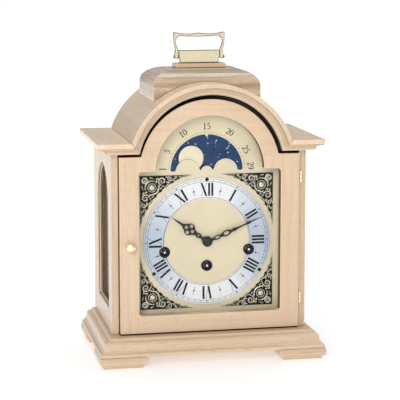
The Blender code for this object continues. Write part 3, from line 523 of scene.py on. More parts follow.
def stained_look(recipe):
    """The mask behind the dial, stained nearly black."""
    place = recipe.stretch(recipe.place(), GRAIN["X"])
    return grained(recipe, place, (0.030, 0.020, 0.014), (0.014, 0.009, 0.006), 0.6, 0.7)


def floor_look(recipe):
    """A pale floor that glows more towards its far edge, so that it has no horizon."""
    place = recipe.place()
    cloud = recipe.noise(place, 3.0, 3.0, 0.5)
    grain = recipe.noise(place, 900.0, 2.0, 0.5)
    across, back, _ = recipe.axes()
    far = recipe.ramp(distance(across, back), 0.3, 1.3)
    return recipe.finish(Base_Color=recipe.mix(cloud, grey(0.74), grey(0.78)), Roughness=0.75,
                         Emission_Color=recipe.mix(far, grey(0.42), grey(0.74)),
                         Emission_Strength=1.0, Normal=recipe.bump(grain, 0.03))


# Making pieces

def piece(name, mesh, finish, node=None, body=None):
    """Link a mesh as a piece that rides on a body and may stand for a CAD node."""
    obj = bpy.data.objects.new(name, mesh)
    for material in finish if isinstance(finish, (list, tuple)) else [finish]:
        mesh.materials.append(material)
    bpy.context.scene.collection.objects.link(obj)
    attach(obj, body or BODY_OF[node])
    if node:
        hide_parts(node)
    return obj


def built(name, bm, finish, node=None, body=None, angle=35.0):
    """A piece from a mesh that was built up here."""
    return piece(name, mesh_from(name, bm, angle), finish, node, body)


def mesh_from(name, bm, angle=35.0):
    """A smooth mesh, sharp only at edges that turn by more than an angle."""
    bmesh.ops.recalc_face_normals(bm, faces=bm.faces)
    mesh = bpy.data.meshes.new(name)
    bm.to_mesh(mesh)
    bm.free()
    mesh.shade_smooth()
    mesh.set_sharp_from_angle(angle=radians(angle))
    return mesh


def round_edges(obj, width, segments=2, edge_material=None, angle=35.0):
    bevel = obj.modifiers.new("eased edges", "BEVEL")
    bevel.width = width
    bevel.segments = segments
    bevel.limit_method = "ANGLE"
    bevel.angle_limit = radians(angle)
    bevel.harden_normals = True
    bevel.use_clamp_overlap = False
    if edge_material is not None:
        bevel.material = edge_material
    return obj


def eased(node, finish, width, segments=2, worn=None, angle=35.0):
    """A node's own shape with its edges softened, and its bevelled edges in a finish of their own: paler wood for
    a painted highlight with some real rubbing, darker brass for a painted dark reflection.
    """
    bm = bmesh.new()
    bm.from_mesh(frame["nodes"][node].data)
    bmesh.ops.remove_doubles(bm, verts=bm.verts, dist=0.000004)
    bmesh.ops.dissolve_limit(bm, angle_limit=radians(0.6), verts=bm.verts, edges=bm.edges)
    for face in bm.faces:
        face.material_index = 0
    mesh = mesh_from(node + "_shape", bm)
    # The node's own normals and surface maps no longer fit
    for layer in ("custom_normal", "UVMap", "TEXCOORD_0"):
        if layer in mesh.attributes:
            mesh.attributes.remove(mesh.attributes[layer])
    mesh.materials.clear()
    coats = [finish] if worn is None else [finish, worn]
    obj = piece(node + "_finished", mesh, coats, node)
    return round_edges(obj, width, segments, None if worn is None else 1, angle)


def wooden(node, finish, share, worn, segments=2, angle=35.0):
    """A wooden piece, its edges eased by a share of the usual width."""
    return eased(node, finish, sizes().wood_edge * share, segments, worn, angle)


def repaint(node, material):
    """Keep a node's own solid and give it a better finish."""
    for place in frame["nodes"][node].material_slots:
        place.material = material


def on_dial(radius, angle, centre=DIAL_CENTRE):
    """(x, z) at a clock angle in degrees about a centre's height."""
    return radius * sin(radians(angle)), centre + radius * cos(radians(angle))


def around(centre, radius, turn):
    """(x, z) at a radius and an angle about a point."""
    return centre[0] + radius * cos(turn), centre[2] + radius * sin(turn)


def round_box(node):
    """A round piece's low and high corners, its radius and its length from front to back."""
    low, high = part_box(node)
    return low, high, (high.x - low.x) / 2, high.y - low.y


def dome(radius, reach, stations):
    """Lathe points from (share of the radius, millimetres behind the front) pairs."""
    return [(share * radius, reach - behind * MM) for share, behind in stations]


def toothed(centre, teeth, stations):
    """(x, z) points of a wheel's teeth, each made of (share of the pitch, radius) stations."""
    return [around(centre, radius, 2 * pi * (i + share) / teeth)
            for i in range(teeth) for share, radius in stations]


def lathe(bm, profile, centre, steps=48, closed=False, material=0):
    """Turn (radius, along) points about a line through centre, along being towards -Y."""
    rows = []
    for radius, along in profile:
        count = steps if radius else 1
        row = []
        for i in range(count):
            x, z = around(centre, radius, 2 * pi * i / steps)
            row.append(bm.verts.new((x, centre[1] - along, z)))
        rows.append(row * (steps // count))
    if closed:
        rows.append(rows[0])
    for near, far in zip(rows, rows[1:]):
        for i in range(steps):
            j = (i + 1) % steps
            corners = []
            for vert in (near[i], near[j], far[j], far[i]):
                if vert not in corners:
                    corners.append(vert)
            if len(corners) > 2:
                bm.faces.new(corners).material_index = material
    return bm


def slab(bm, outline, near, far, material=0):
    """Raise an (x, z) outline between two depths."""
    front = [bm.verts.new((x, near, z)) for x, z in outline]
    back = [bm.verts.new((x, far, z)) for x, z in outline]
    faces = [bm.faces.new(front), bm.faces.new(list(reversed(back)))]
    count = len(outline)
    for i in range(count):
        j = (i + 1) % count
        faces.append(bm.faces.new((front[i], back[i], back[j], front[j])))
    for face in faces:
        face.material_index = material


def band(bm, inner, outer, start, end, steps, near, far, centre):
    """A flat arc between two radii, from one clock angle to another."""
    full = end - start >= 360
    rows = []
    for i in range(steps if full else steps + 1):
        angle = start + (end - start) * i / steps
        row = []
        for radius, depth in ((inner, near), (outer, near), (outer, far), (inner, far)):
            x, z = on_dial(radius, angle, centre)
            row.append(bm.verts.new((x, depth, z)))
        rows.append(row)
    pairs = list(zip(rows, rows[1:]))
    if full:
        pairs.append((rows[-1], rows[0]))
    else:
        bm.faces.new(rows[0])
        bm.faces.new(list(reversed(rows[-1])))
    for one, two in pairs:
        for k in range(4):
            m = (k + 1) % 4
            bm.faces.new((one[k], one[m], two[m], two[k]))


def ribbon(path, widths):
    """The outline of a pen stroke along a path, with a width at each point."""
    left, right = [], []
    count = len(path)
    for i, (u, v) in enumerate(path):
        before = path[max(0, i - 1)]
        after = path[min(count - 1, i + 1)]
        run = (after[0] - before[0], after[1] - before[1])
        size = hypot(*run) or 1.0
        across = (-run[1] / size * widths[i] / 2, run[0] / size * widths[i] / 2)
        left.append((u + across[0], v + across[1]))
        right.append((u - across[0], v - across[1]))
    return left, right


def ribbon_quads(path, widths):
    left, right = ribbon(path, widths)
    return [(left[i], left[i + 1], right[i + 1], right[i]) for i in range(len(path) - 1)]


# Wooden case

class OBJECT_OT_clock_case(bpy.types.Operator):
    """Base, feet, sides, cornice, hood and bell top in waxed pale wood"""

    bl_idname = "object.clock_case"
    bl_label = "Case"

    def execute(self, context):
        # Lighter, plainer wood on the eased edges: a painted highlight along them, with some real rubbing of the
        # wax
        highlit_worn_x = wood("X", 1.07, 0.22, 7)
        highlit_worn_y = wood("Y", 1.05, 0.22, 8)
        highlit_worn_z = wood("Z", 1.07, 0.22, 9)
        wooden("base_plinth", kept("wood_mitred_base", base_wood), 0.7, highlit_worn_x, angle=12.0)
        feet = ("foot_front_left", "foot_front_right", "foot_rear_left", "foot_rear_right")
        for number, node in enumerate(feet):
            wooden(node, wood("X", 0.93, 0.60, number), 0.6, highlit_worn_x, angle=25.0)
        for side in ("left", "right"):
            wooden("side_panel_" + side, kept("wood_sides", side_wood), 1.0, highlit_worn_z)
            wooden("cornice_mould_" + side, wood("Y", 0.86, 0.50, 4), 0.6, highlit_worn_y)
            wooden("shoulder_board_" + side, wood("Y", 1.10, 0.36, 5), 1.0, highlit_worn_y)
        wooden("cornice_mould_front", kept("wood_cornice", cornice_wood), 0.5, highlit_worn_x)
        wooden("hood_barrel", kept("wood_hood", hood_wood), 0.8, highlit_worn_x)
        wooden("bell_top", kept("wood_mitred_bell", bell_wood), 0.6, highlit_worn_x)
        wooden("handle_platform", wood("X", 0.96, 0.50, 11), 0.7, highlit_worn_x)
        return {"FINISHED"}


def base_wood(recipe):
    """Mitred mouldings, with painted shade on the top just behind the door's front, where the door's shadow falls.
    """
    low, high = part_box("base_plinth")
    mitred_wood(recipe, low, high, 0.98, 0.75)
    behind, skin = 0.0002, 0.0004
    across, back, up = recipe.axes()
    # Painted shade: the strip of base top behind the door's front edge, dark in the door's shadow
    under = (back > DOOR_LOW.y + behind) * (up > high.z - skin) * (abs(across) < DOOR_HIGH.x)
    return darkened(recipe, under, 0.9)


def side_wood(recipe):
    """Upright grain outside, and painted shade on the inside and in the window's reveal."""
    straight_wood(recipe, "Z", 0.87, 0.55, 3)
    low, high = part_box("side_panel_right")
    skin, edge = 0.0016, 0.0020
    across, back, _ = recipe.axes()
    inside = abs(across) < high.x - skin
    return darkened(recipe, inside * (back > low.y + edge) * (back < high.y - edge), 0.78)


def hood_wood(recipe):
    """Grain along the barrel, with painted shade on its underside."""
    straight_wood(recipe, "Y", 0.98, 0.42, 6)
    across, _, up = recipe.axes()
    return darkened(recipe, distance(across, up - HOOD_CENTRE) < HOOD_INSIDE, 0.9)


def cornice_wood(recipe):
    """Level grain, with painted shade on the arch's underside, in the dark gap over the door."""
    look = finishes()
    grained(recipe, recipe.stretch(recipe.place(), GRAIN["X"]), tint(look.wood_pale, 0.87),
            tint(look.wood_deep, 0.86), 0.55, 0.36)
    skin, front_edge = 0.0006, 0.0010
    across, back, up = recipe.axes()
    inside = distance(across, up - HOOD_CENTRE) < LIP_CURVE + skin
    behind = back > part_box("cornice_mould_front")[0].y + front_edge
    return darkened(recipe, inside * behind, 0.95)


def bell_wood(recipe):
    low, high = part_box("bell_top")
    return mitred_wood(recipe, low, high, 0.95, 1.0, 0.62)


class OBJECT_OT_clock_door(bpy.types.Operator):
    """Front door: frame, glass, bead, knob and hinges"""

    bl_idname = "object.clock_door"
    bl_label = "Front door"

    def execute(self, context):
        # The lighter wood on the door's eased edges is a painted highlight along them, with some real rubbing
        wooden("door_frame", kept("wood_door", door_wood), 0.9, wood("Z", 1.08, 0.18, 12), 3)
        eased("glazing_bead", wood("Z", 0.85, 0.4, 13), 0.00025, 1)
        repaint("door_glass", kept("glass_clear", glass_look))
        self.knob()
        for level in ("lower", "upper"):
            for leaf in ("case_leaf", "door_leaf"):
                eased(f"door_hinge_{level}_{leaf}", brass(), 0.00012, 1)
        return {"FINISHED"}

    def knob(self):
        """A flattened ball on a neck, with a collar against the door."""
        low, high, radius, reach = round_box("door_knob")
        radius *= 1.1
        centre = ((low.x + high.x) / 2, high.y, (low.z + high.z) / 2)
        collar = 0.0073
        ball = dome(radius, reach, ((0.0, 0.0), (0.30, 0.1), (0.58, 0.7), (0.80, 1.6), (0.95, 2.9),
                                    (1.0, 4.2), (0.95, 5.6), (0.80, 6.7), (0.60, 7.6)))
        neck = dome(radius, reach, ((0.46, 8.5), (0.42, 9.8), (0.50, 10.6), (0.74, 10.8), (0.76, 11.5)))
        foot = [(0.74 * radius, collar), (0.25 * radius, collar), (0.25 * radius, 0.0), (0.0, 0.0)]
        satin = kept("brass_satin", brass_look, tint(finishes().brass, 1.04), 0.34, (1.0, 1.0, 1.0))
        bm = lathe(bmesh.new(), ball + neck + foot, centre)
        built("door_knob_turned", bm, satin, "door_knob", angle=50.0)


def door_wood(recipe):
    """Upright grain in the stiles and level grain in the rail and arch, butted at hairline joints."""
    look = finishes()
    low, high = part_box("door_glass")
    rebate, arch_foot = 0.004, DIAL_CENTRE + 0.0960
    place = recipe.place()
    across, back, up = recipe.axes()
    out = abs(across)
    rail = (up < low.z + rebate) * (out < high.x - rebate)
    upright = recipe.stretch(place, GRAIN["Z"])
    level = recipe.shift(recipe.stretch(place, GRAIN["X"]), (0.5, 0.3, 0.2))
    turned = recipe.mix_vector(rail.at_least(up > arch_foot), upright, level)
    grained(recipe, turned, tint(look.wood_pale, 0.98), tint(look.wood_deep, 1.02), 0.52, 0.34)
    # Painted shade: the wood darkens towards the right, where the light falls off
    painted_falloff = recipe.ramp(across, -0.06, 0.10) * 0.26
    recipe.finish(Base_Color=recipe.mix(painted_falloff, recipe.fed("Base Color"), tint(look.wood_deep, 1.05)))

    # Painted shade on the outer edge over the arch and shoulders, and in the opening's right-hand reveal
    arch_start, shoulder = DOOR_CROWN + 0.0172, DOOR_CROWN + 0.0163
    outer_skin, inner_skin, overlap = 0.0006, 0.0003, 0.0002
    depth = back - DOOR_LOW.y
    reach = distance(across, (up - DOOR_CROWN).at_least(0.0))
    crown = (up > arch_start) * (reach > DOOR_CURVE - outer_skin)
    shelf = (up > shoulder) * (out > DOOR_CURVE)
    right_arch = (reach < VIEW_CURVE + inner_skin) * (up > VIEW_SHELF) * (across > 0.0)
    right_side = (across > VIEW_EDGE - 0.0010) * (across < VIEW_EDGE + inner_skin)
    right_side = right_side * (up < VIEW_SHELF + overlap)
    reveal = (right_arch + right_side) * (depth > 0.0006) * 0.9
    return darkened(recipe, (crown + shelf) * (depth > 0.0001) + reveal, 0.95)


# Handle

class OBJECT_OT_clock_handle(bpy.types.Operator):
    """Brass bail on its block, with a screw at each end"""

    bl_idname = "object.clock_handle"
    bl_label = "Handle"

    def execute(self, context):
        edge = sizes().brass_edge
        # Painted dark reflection: the bail's and the block's rounded edges get a far darker brass
        dull = tint(finishes().brass, 0.34)
        painted_dark_edge = kept("brass_painted_dark_edge", brass_look, dull, 0.30, (1.0, 1.0, 0.2))
        for node in ("handle_bail", "handle_pedestal"):
            eased(node, brass(), edge * 1.9, 2, painted_dark_edge)
        for side in ("left", "right"):
            eased("handle_pivot_" + side, brass_plain(), edge * 0.4, 2)
        return {"FINISHED"}


# Dial

THICK = 0.0023
THIN = 0.00034
LETTER_GAP = 0.0010
HOURS = ("I", "II", "III", "IIII", "V", "VI", "VII", "VIII", "IX", "X", "XI", "XII")
# Each letter's room, and its strokes as (u at the foot, u at the top, width)
LETTERS = {
    "I": (0.0036, [(0.0013, 0.0013, THICK)]),
    "V": (0.0078, [(0.0036, 0.0009, THICK), (0.0036, 0.0062, THIN)]),
    "X": (0.0082, [(0.0064, 0.0010, THICK), (0.0010, 0.0064, THIN)]),
}


def roman(text):
    """A figure's strokes about its middle."""
    strokes = []
    at = 0.0
    for letter in text:
        room, parts = LETTERS[letter]
        strokes += [(at + foot, at + top, width) for foot, top, width in parts]
        at += room
    middle = (at - LETTER_GAP) / 2
    return [(foot - middle, top - middle, width) for foot, top, width in strokes]


def dial_quads(quads, base, angle, centre):
    """Turn quads in (u, v) about the dial, v pointing outwards from base."""
    across, up = sin(radians(angle)), cos(radians(angle))
    return [[((base + v) * across + u * up, centre + (base + v) * up - u * across) for u, v in quad]
            for quad in quads]


def upright_quad(left, right, foot, top):
    return [(left, foot), (right, foot), (right, top), (left, top)]


def hour_figures():
    size = sizes()
    tall = size.numeral_height
    overhang = 0.00055
    quads = []
    for number, text in enumerate(HOURS):
        strokes = []
        for foot, top, width in roman(text):
            half = width / 2
            strokes.append([(foot - half, 0), (foot + half, 0), (top + half, tall), (top - half, tall)])
            for end, level in ((foot, 0.0), (top, tall - THIN)):
                reach = half + overhang
                strokes.append(upright_quad(end - reach, end + reach, level, level + THIN))
        quads += dial_quads(strokes, size.numeral_foot, (number + 1) * 30, DIAL_CENTRE)
    return quads


# Each figure's pen strokes: points in a space one high, and the pen's width at each
DIGITS = {
    "0": [([(0.30, 0.98), (0.13, 0.86), (0.07, 0.50), (0.13, 0.14), (0.30, 0.02), (0.47, 0.14),
            (0.53, 0.50), (0.47, 0.86), (0.30, 0.98)],
           [0.05, 0.10, 0.14, 0.10, 0.05, 0.10, 0.14, 0.10, 0.05])],
    "1": [([(0.30, 0.02), (0.30, 0.98)], [0.13, 0.13]), ([(0.12, 0.82), (0.30, 0.96)], [0.05, 0.08]),
          ([(0.10, 0.03), (0.50, 0.03)], [0.06, 0.06])],
    "2": [([(0.10, 0.74), (0.14, 0.90), (0.29, 0.97), (0.44, 0.90), (0.50, 0.72), (0.42, 0.50),
            (0.24, 0.27), (0.08, 0.06)], [0.13, 0.09, 0.06, 0.10, 0.14, 0.12, 0.08, 0.06]),
          ([(0.06, 0.06), (0.50, 0.06), (0.56, 0.20)], [0.11, 0.11, 0.05])],
    "5": [([(0.16, 0.94), (0.50, 0.94)], [0.10, 0.10]), ([(0.17, 0.94), (0.13, 0.56)], [0.05, 0.05]),
          ([(0.13, 0.56), (0.30, 0.62), (0.46, 0.53), (0.53, 0.33), (0.46, 0.12), (0.28, 0.03),
            (0.09, 0.08)], [0.05, 0.07, 0.11, 0.14, 0.11, 0.06, 0.09])],
    "9": [([(0.30, 0.98), (0.14, 0.88), (0.09, 0.68), (0.15, 0.48), (0.29, 0.40), (0.44, 0.49),
            (0.50, 0.68), (0.45, 0.88), (0.30, 0.98)],
           [0.05, 0.10, 0.14, 0.10, 0.05, 0.08, 0.13, 0.10, 0.05]),
          ([(0.50, 0.68), (0.48, 0.40), (0.36, 0.15), (0.13, 0.02)], [0.13, 0.12, 0.09, 0.05])],
}
# Clock angles of the moon's day figures, and of the ticks under them
MOON_DAYS = {1: -86.0, 5: -62.6, 10: -32.0, 15: 0.0, 20: 31.4, 25: 62.7, 29: 85.0}
FIRST_DAY = -86.0
DAY_STEP = 5.93


def day_figures():
    tall = sizes().day_height
    advance, extra = 0.62, 0.025
    quads = []
    for day, angle in MOON_DAYS.items():
        text = str(day)
        start = -advance * len(text) / 2
        strokes = []
        for number, digit in enumerate(text):
            for path, widths in DIGITS[digit]:
                for quad in ribbon_quads(path, [width + extra for width in widths]):
                    strokes.append([((start + number * advance + u) * tall, (v - 0.5) * tall)
                                    for u, v in quad])
        quads += dial_quads(strokes, sizes().day_radius, angle, MOON_CENTRE)
    return quads


def printed(name, quads, face, finish, bands=()):
    """A printed layer: quads, and bands as (inner, outer, start, end, steps, centre)."""
    bm = bmesh.new()
    near = face - sizes().ink
    for quad in quads:
        slab(bm, quad, near, face + BED)
    for inner, outer, start, end, steps, centre in bands:
        band(bm, inner, outer, start, end, steps, near, face + BED, centre)
    built(name, bm, finish, body="case")


def tick(radius_in, radius_out, angle, width, centre):
    quad = upright_quad(-width / 2, width / 2, 0.0, radius_out - radius_in)
    return dial_quads([quad], radius_in, angle, centre)[0]


def half_hour_marks():
    """A slim spear crossed near its middle, between each pair of hours."""
    foot = 0.0530
    spear = [(-0.00026, 0.0), (0.00026, 0.0), (0.00013, 0.0092), (-0.00013, 0.0092)]
    cross = [(-0.0020, 0.0040), (0.0020, 0.0040), (0.0018, 0.0044), (-0.0018, 0.0044)]
    kite = [(0.0, 0.0026), (0.00085, 0.0044), (0.0, 0.0066), (-0.00085, 0.0044)]
    quads = []
    for hour in range(12):
        quads += dial_quads([spear, cross, kite], foot, hour * 30 + 15, DIAL_CENTRE)
    return quads


class OBJECT_OT_clock_dial(bpy.types.Operator):
    """Dial plate, hour ring and everything printed on them"""

    bl_idname = "object.clock_dial"
    bl_label = "Dial"

    def execute(self, context):
        size = sizes()
        eased("dial_plate", cream(), 0.00025, 2)
        eased("chapter_ring", silver(), 0.00022, 2)
        printed("hour_numerals", hour_figures(), RING_FACE, ink())
        printed("half_hour_spears", half_hour_marks(), RING_FACE, ink_soft())
        inner, outer = size.track_inner, size.track_outer
        minutes = []
        for minute in range(60):
            width = 0.00075 if minute % 5 == 0 else 0.00028
            minutes.append(tick(inner, outer, minute * 6, width, DIAL_CENTRE))
        half_line = 0.00016
        rings = [(radius - half_line, radius + half_line, 0, 360, 120, DIAL_CENTRE)
                 for radius in (inner, outer)]
        rings.append((0.0490, 0.0494, 0, 360, 96, DIAL_CENTRE))
        printed("minute_track", minutes, RING_FACE, ink(), rings)
        self.studs()
        self.moon_arc()
        return {"FINISHED"}

    def studs(self):
        """Three small blued screws hold the ring."""
        bm = bmesh.new()
        head = [(0.0, 0.0009), (0.0011, 0.0008), (0.0018, 0.0005), (0.0021, 0.0), (0.0, 0.0)]
        for angle in (0, 120, 240):
            x, z = on_dial(0.0690, angle)
            lathe(bm, head, (x, RING_FACE, z), 20)
        built("ring_studs", bm, ink(), body="case")

    def moon_arc(self):
        """Day figures, their track and the pointer over the moon's window."""
        foot, long_end, short_end = 0.0424, 0.0450, 0.0438
        days = []
        for day in range(1, 31):
            angle = FIRST_DAY + (day - 1) * DAY_STEP
            end, width = (long_end, 0.0004) if day in MOON_DAYS else (short_end, 0.00022)
            days.append(tick(foot, end, angle, width, MOON_CENTRE))
        track = [(0.0423, 0.04245, -87, 86.5, 72, MOON_CENTRE)]
        printed("day_track", days, PLATE_FACE, ink_soft(), track)
        printed("day_numerals", day_figures(), PLATE_FACE, ink())
        top = MOON_CENTRE + 0.0409
        arrow = [(-0.0022, top), (0.0022, top), (0.0004, top - 0.0030), (-0.0004, top - 0.0030)]
        bm = bmesh.new()
        slab(bm, arrow, PLATE_FACE, PLATE_FACE + 0.0014)
        pointer = built("day_pointer", bm, cream(), body="case")
        round_edges(pointer, 0.0002, 2)


# Spandrels, drawn in millimetres from the dial's centre

BORDER = 0.5  # from the scrolls to the casting's outer edge


def spiral(centre, radius, start, turns, steps, taper):
    """A scroll that winds in to its centre, with widths that swell and fade."""
    path, widths = [], []
    for i in range(steps + 1):
        share = i / steps
        reach = radius * (1 - 0.86 * share)
        angle = radians(start + turns * 360 * share)
        path.append((centre[0] + reach * cos(angle), centre[1] + reach * sin(angle)))
        widths.append(taper * (0.45 + 0.8 * sin(pi * min(1.0, 0.25 + share * 0.75))))
    return path, widths


def leaf(start, heading, size, curl, fat):
    """A pointed leaf that bends as it grows."""
    path, widths = [], []
    x, y = start
    steps = 6
    for i in range(steps + 1):
        share = i / steps
        angle = radians(heading + curl * share)
        path.append((x, y))
        widths.append(fat * (0.25 + sin(pi * min(1.0, 0.18 + 0.82 * share)) * 0.9) * (1.02 - share))
        x += size / steps * cos(angle)
        y += size / steps * sin(angle)
    return path, widths


def spandrel_strokes(square, circle):
    """Scrollwork for the upper right corner: one half, its mirror image and a rose between."""
    rose = (61.4, 61.4)
    strokes = []
    stem, stem_widths = [], []
    for i in range(13):
        x = 55.0 - 34.0 * i / 12
        lower = sqrt(circle ** 2 - x ** 2)
        depth = square - lower
        stem.append((x, lower + depth * (0.30 + 0.20 * sin(i * 1.5))))
        stem_widths.append(max(0.6, 1.5 - 0.08 * i))
    strokes.append((stem, stem_widths))
    strokes.append(spiral((50.0, 68.6), 4.4, -70, 1.45, 24, 1.55))
    strokes.append(spiral((41.4, 71.2), 2.9, 110, -1.35, 20, 1.25))
    strokes.append(spiral((34.6, 72.5), 1.7, -80, 1.2, 14, 0.95))
    strokes.append(spiral((69.7, 69.7), 3.7, 225, 1.3, 22, 1.45))
    for x, y, heading, size, curl, fat in (
            (56.8, 70.8, 165, 6.5, 50, 2.4), (57.0, 66.6, 120, 5.5, -70, 2.4),
            (45.6, 66.8, 160, 6.0, 45, 2.1), (46.2, 73.0, 185, 5.6, 30, 1.7),
            (38.2, 70.6, 190, 4.6, -50, 1.6), (31.8, 73.3, 180, 4.6, 0, 1.3),
            (63.8, 72.6, 190, 6.0, 35, 2.0), (66.6, 66.0, 70, 5.0, 50, 2.1),
            (52.6, 59.8, 150, 5.0, -50, 1.9), (26.6, 73.6, 178, 4.6, 4, 0.9)):
        strokes.append(leaf((x, y), heading, size, curl, fat))
    mirrored = [([(y, x) for x, y in path], widths) for path, widths in strokes]
    hoops = []
    for reach, start, sweep, width in ((7.6, 20, 140, 1.9), (7.6, 200, 140, 1.9), (4.6, 0, 360, 1.0)):
        path, widths = [], []
        for i in range(19):
            share = i / 18
            turn = radians(start - 45 + sweep * share)
            path.append((rose[0] + reach * cos(turn), rose[1] + reach * sin(turn)))
            widths.append(width * (1.0 if sweep == 360 else 0.35 + 0.75 * sin(pi * share)))
        hoops.append((path, widths))
    return strokes + mirrored + hoops, rose


def raise_stroke(bm, path, widths, base, height, place):
    """A rounded ridge along a path: two edges on the ground, two shoulders and a crest."""
    full_width, shoulder, inward = 1.3, 0.75, 0.45
    left, right = ribbon(path, widths)
    rows = []
    for near, point, far, width in zip(left, path, right, widths):
        swell = min(1.0, width / full_width) * height
        sides = [[(1 - inward) * edge[k] + inward * point[k] for k in (0, 1)] for edge in (near, far)]
        spots = ((near, 0.0), (sides[0], swell * shoulder), (point, swell),
                 (sides[1], swell * shoulder), (far, 0.0))
        rows.append([bm.verts.new(place(spot, base - rise)) for spot, rise in spots])
    for one, two in zip(rows, rows[1:]):
        for k in range(4):
            bm.faces.new((one[k], one[k + 1], two[k + 1], two[k]))
        bm.faces.new((one[0], two[0], two[4], one[4]))
    bm.faces.new(rows[0])
    bm.faces.new(list(reversed(rows[-1])))


def corner(side, end):
    """A function that takes a point and a depth to one of the dial's four corners."""
    def place(point, depth):
        return (side * point[0] * MM, depth, DIAL_CENTRE + end * point[1] * MM)

    return place


class OBJECT_OT_clock_spandrels(bpy.types.Operator):
    """Gilt scrollwork over black corners"""

    bl_idname = "object.clock_spandrels"
    bl_label = "Spandrels"

    def execute(self, context):
        low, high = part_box("spandrel_upper_right")
        square = high.x / MM - BORDER
        over_ring = 0.9
        free, pinched = 0.80, 0.5  # shares of a stroke's width
        circle = hypot(low.x, high.z - DIAL_CENTRE) / MM - over_ring
        strokes, rose = spandrel_strokes(square, circle)
        gilt = kept("gilt_scrolls", gilt_look, tuple(finishes().gilt))
        ground = kept("spandrel_ground", paint_look, (0.006, 0.005, 0.004), 0.5, 0.3, 0.05)
        boss = [(0.0, 0.0013), (0.0013, 0.0012), (0.0024, 0.0008), (0.0030, 0.0), (0.0, 0.0)]
        for end_name, end in (("lower", -1), ("upper", 1)):
            for side_name, side in (("left", -1), ("right", 1)):
                node = f"spandrel_{end_name}_{side_name}"
                place = corner(side, end)
                plate = self.ground(node, square, circle, place)
                built(node + "_ground", plate, ground, node)
                bm = bmesh.new()
                for path, widths in strokes:
                    inside = [self.keep(point, square, circle) for point in path]
                    cut = [width * (free if point == moved else pinched)
                           for width, point, moved in zip(widths, path, inside)]
                    raise_stroke(bm, inside, cut, low.y + 0.0001, sizes().relief * 0.8, place)
                lathe(bm, boss, place(rose, low.y), 24)
                built(node + "_scrolls", bm, gilt, body="case", angle=60.0)
        return {"FINISHED"}

    def ground(self, node, square, circle, place):
        """The casting's plate, with a scalloped edge along the ring's side."""
        low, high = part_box(node)
        edge = square + BORDER
        turn = degrees(asin(sqrt(circle ** 2 - edge ** 2) / circle)) + 1.0
        outline = [(edge, edge)]
        steps = 66
        for i in range(steps + 1):
            angle = radians(90 - turn - (90 - 2 * turn) * i / steps)
            room = edge / max(cos(angle), sin(angle)) - circle
            reach = circle + min(room * 0.7, 1.3) * abs(sin(i * pi / 6))
            outline.append((reach * cos(angle), reach * sin(angle)))
        bm = bmesh.new()
        slab(bm, [place(point, 0.0)[::2] for point in outline], low.y + 0.0001, high.y)
        return bm

    def keep(self, point, square, circle):
        """Bring a point that has strayed back inside the corner."""
        x, y = min(point[0], square), min(point[1], square)
        reach = hypot(x, y)
        if reach < circle:
            x, y = x * circle / reach, y * circle / reach
        if (x, y) == tuple(point):
            return point
        return (x, y)


# Moon

class OBJECT_OT_clock_moon(bpy.types.Operator):
    """Night sky disc with its two moons and stars"""

    bl_idname = "object.clock_moon"
    bl_label = "Moon disc"

    def execute(self, context):
        sky = kept("night_sky", night_look, tuple(finishes().night))
        eased("moon_disc", sky, 0.00015, 1)
        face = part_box("moon_disc")[0].y + 0.0006
        radius = sizes().moon_radius
        moons = [(-0.0171, 0.0142), (0.0171, -0.0142)]
        thick = 0.00010
        edge = [(0.0, thick), (radius - thick, thick), (radius, 0.00006), (radius, -BED), (0.0, -BED)]
        bm = bmesh.new()
        for x, z in moons:
            lathe(bm, edge, (x, face, MOON_CENTRE + z), 64)
        painted = kept("moon_paint", moon_look, tuple(finishes().moon))
        built("moon_faces", bm, painted, body="moon")
        bm = bmesh.new()
        chance = Random(11)
        sky_edge, hub, stars = 0.043, 0.006, 120
        placed = 0
        while placed < stars:
            reach = sky_edge * sqrt(chance.random())
            turn = chance.uniform(0, 2 * pi)
            x, z = reach * cos(turn), reach * sin(turn)
            if reach < hub or min(hypot(x - a, z - b) for a, b in moons) < radius + 0.0008:
                continue
            size = chance.choice((0.00030, 0.00042, 0.00060, 0.00090))
            corners = []
            for i in range(8):
                spoke = size if i % 2 == 0 else size * 0.45
                corners.append((x + spoke * cos(pi * i / 4), MOON_CENTRE + z + spoke * sin(pi * i / 4)))
            slab(bm, corners, face - 0.00006, face + 0.00001)
            placed += 1
        star = kept("star_paint", paint_look, (0.92, 0.94, 0.95), 0.4, 0.05)
        built("moon_stars", bm, star, body="moon")
        return {"FINISHED"}


# Hands and winding holes

class OBJECT_OT_clock_hands(bpy.types.Operator):
    """Pierced black hands under their domed nut"""

    bl_idname = "object.clock_hands"
    bl_label = "Hands"

    def execute(self, context):
        eased("hour_hand", black(), 0.00022, 2)
        eased("minute_hand", black(), 0.0002, 2)
        _, high, radius, reach = round_box("hand_nut")
        bore = 0.0011 * 1.1
        top = dome(radius, reach, ((0.0, 0.0), (0.35, 0.02), (0.62, 0.12), (0.84, 0.32),
                                   (0.96, 0.58), (1.0, 0.8)))
        under = [(radius, 0.0), (bore, 0.0), (bore, reach * 0.5), (0.0, reach * 0.5)]
        bm = lathe(bmesh.new(), top + under, (0.0, high.y, DIAL_CENTRE), 40)
        built("hand_nut_domed", bm, black(), "hand_nut")
        return {"FINISHED"}


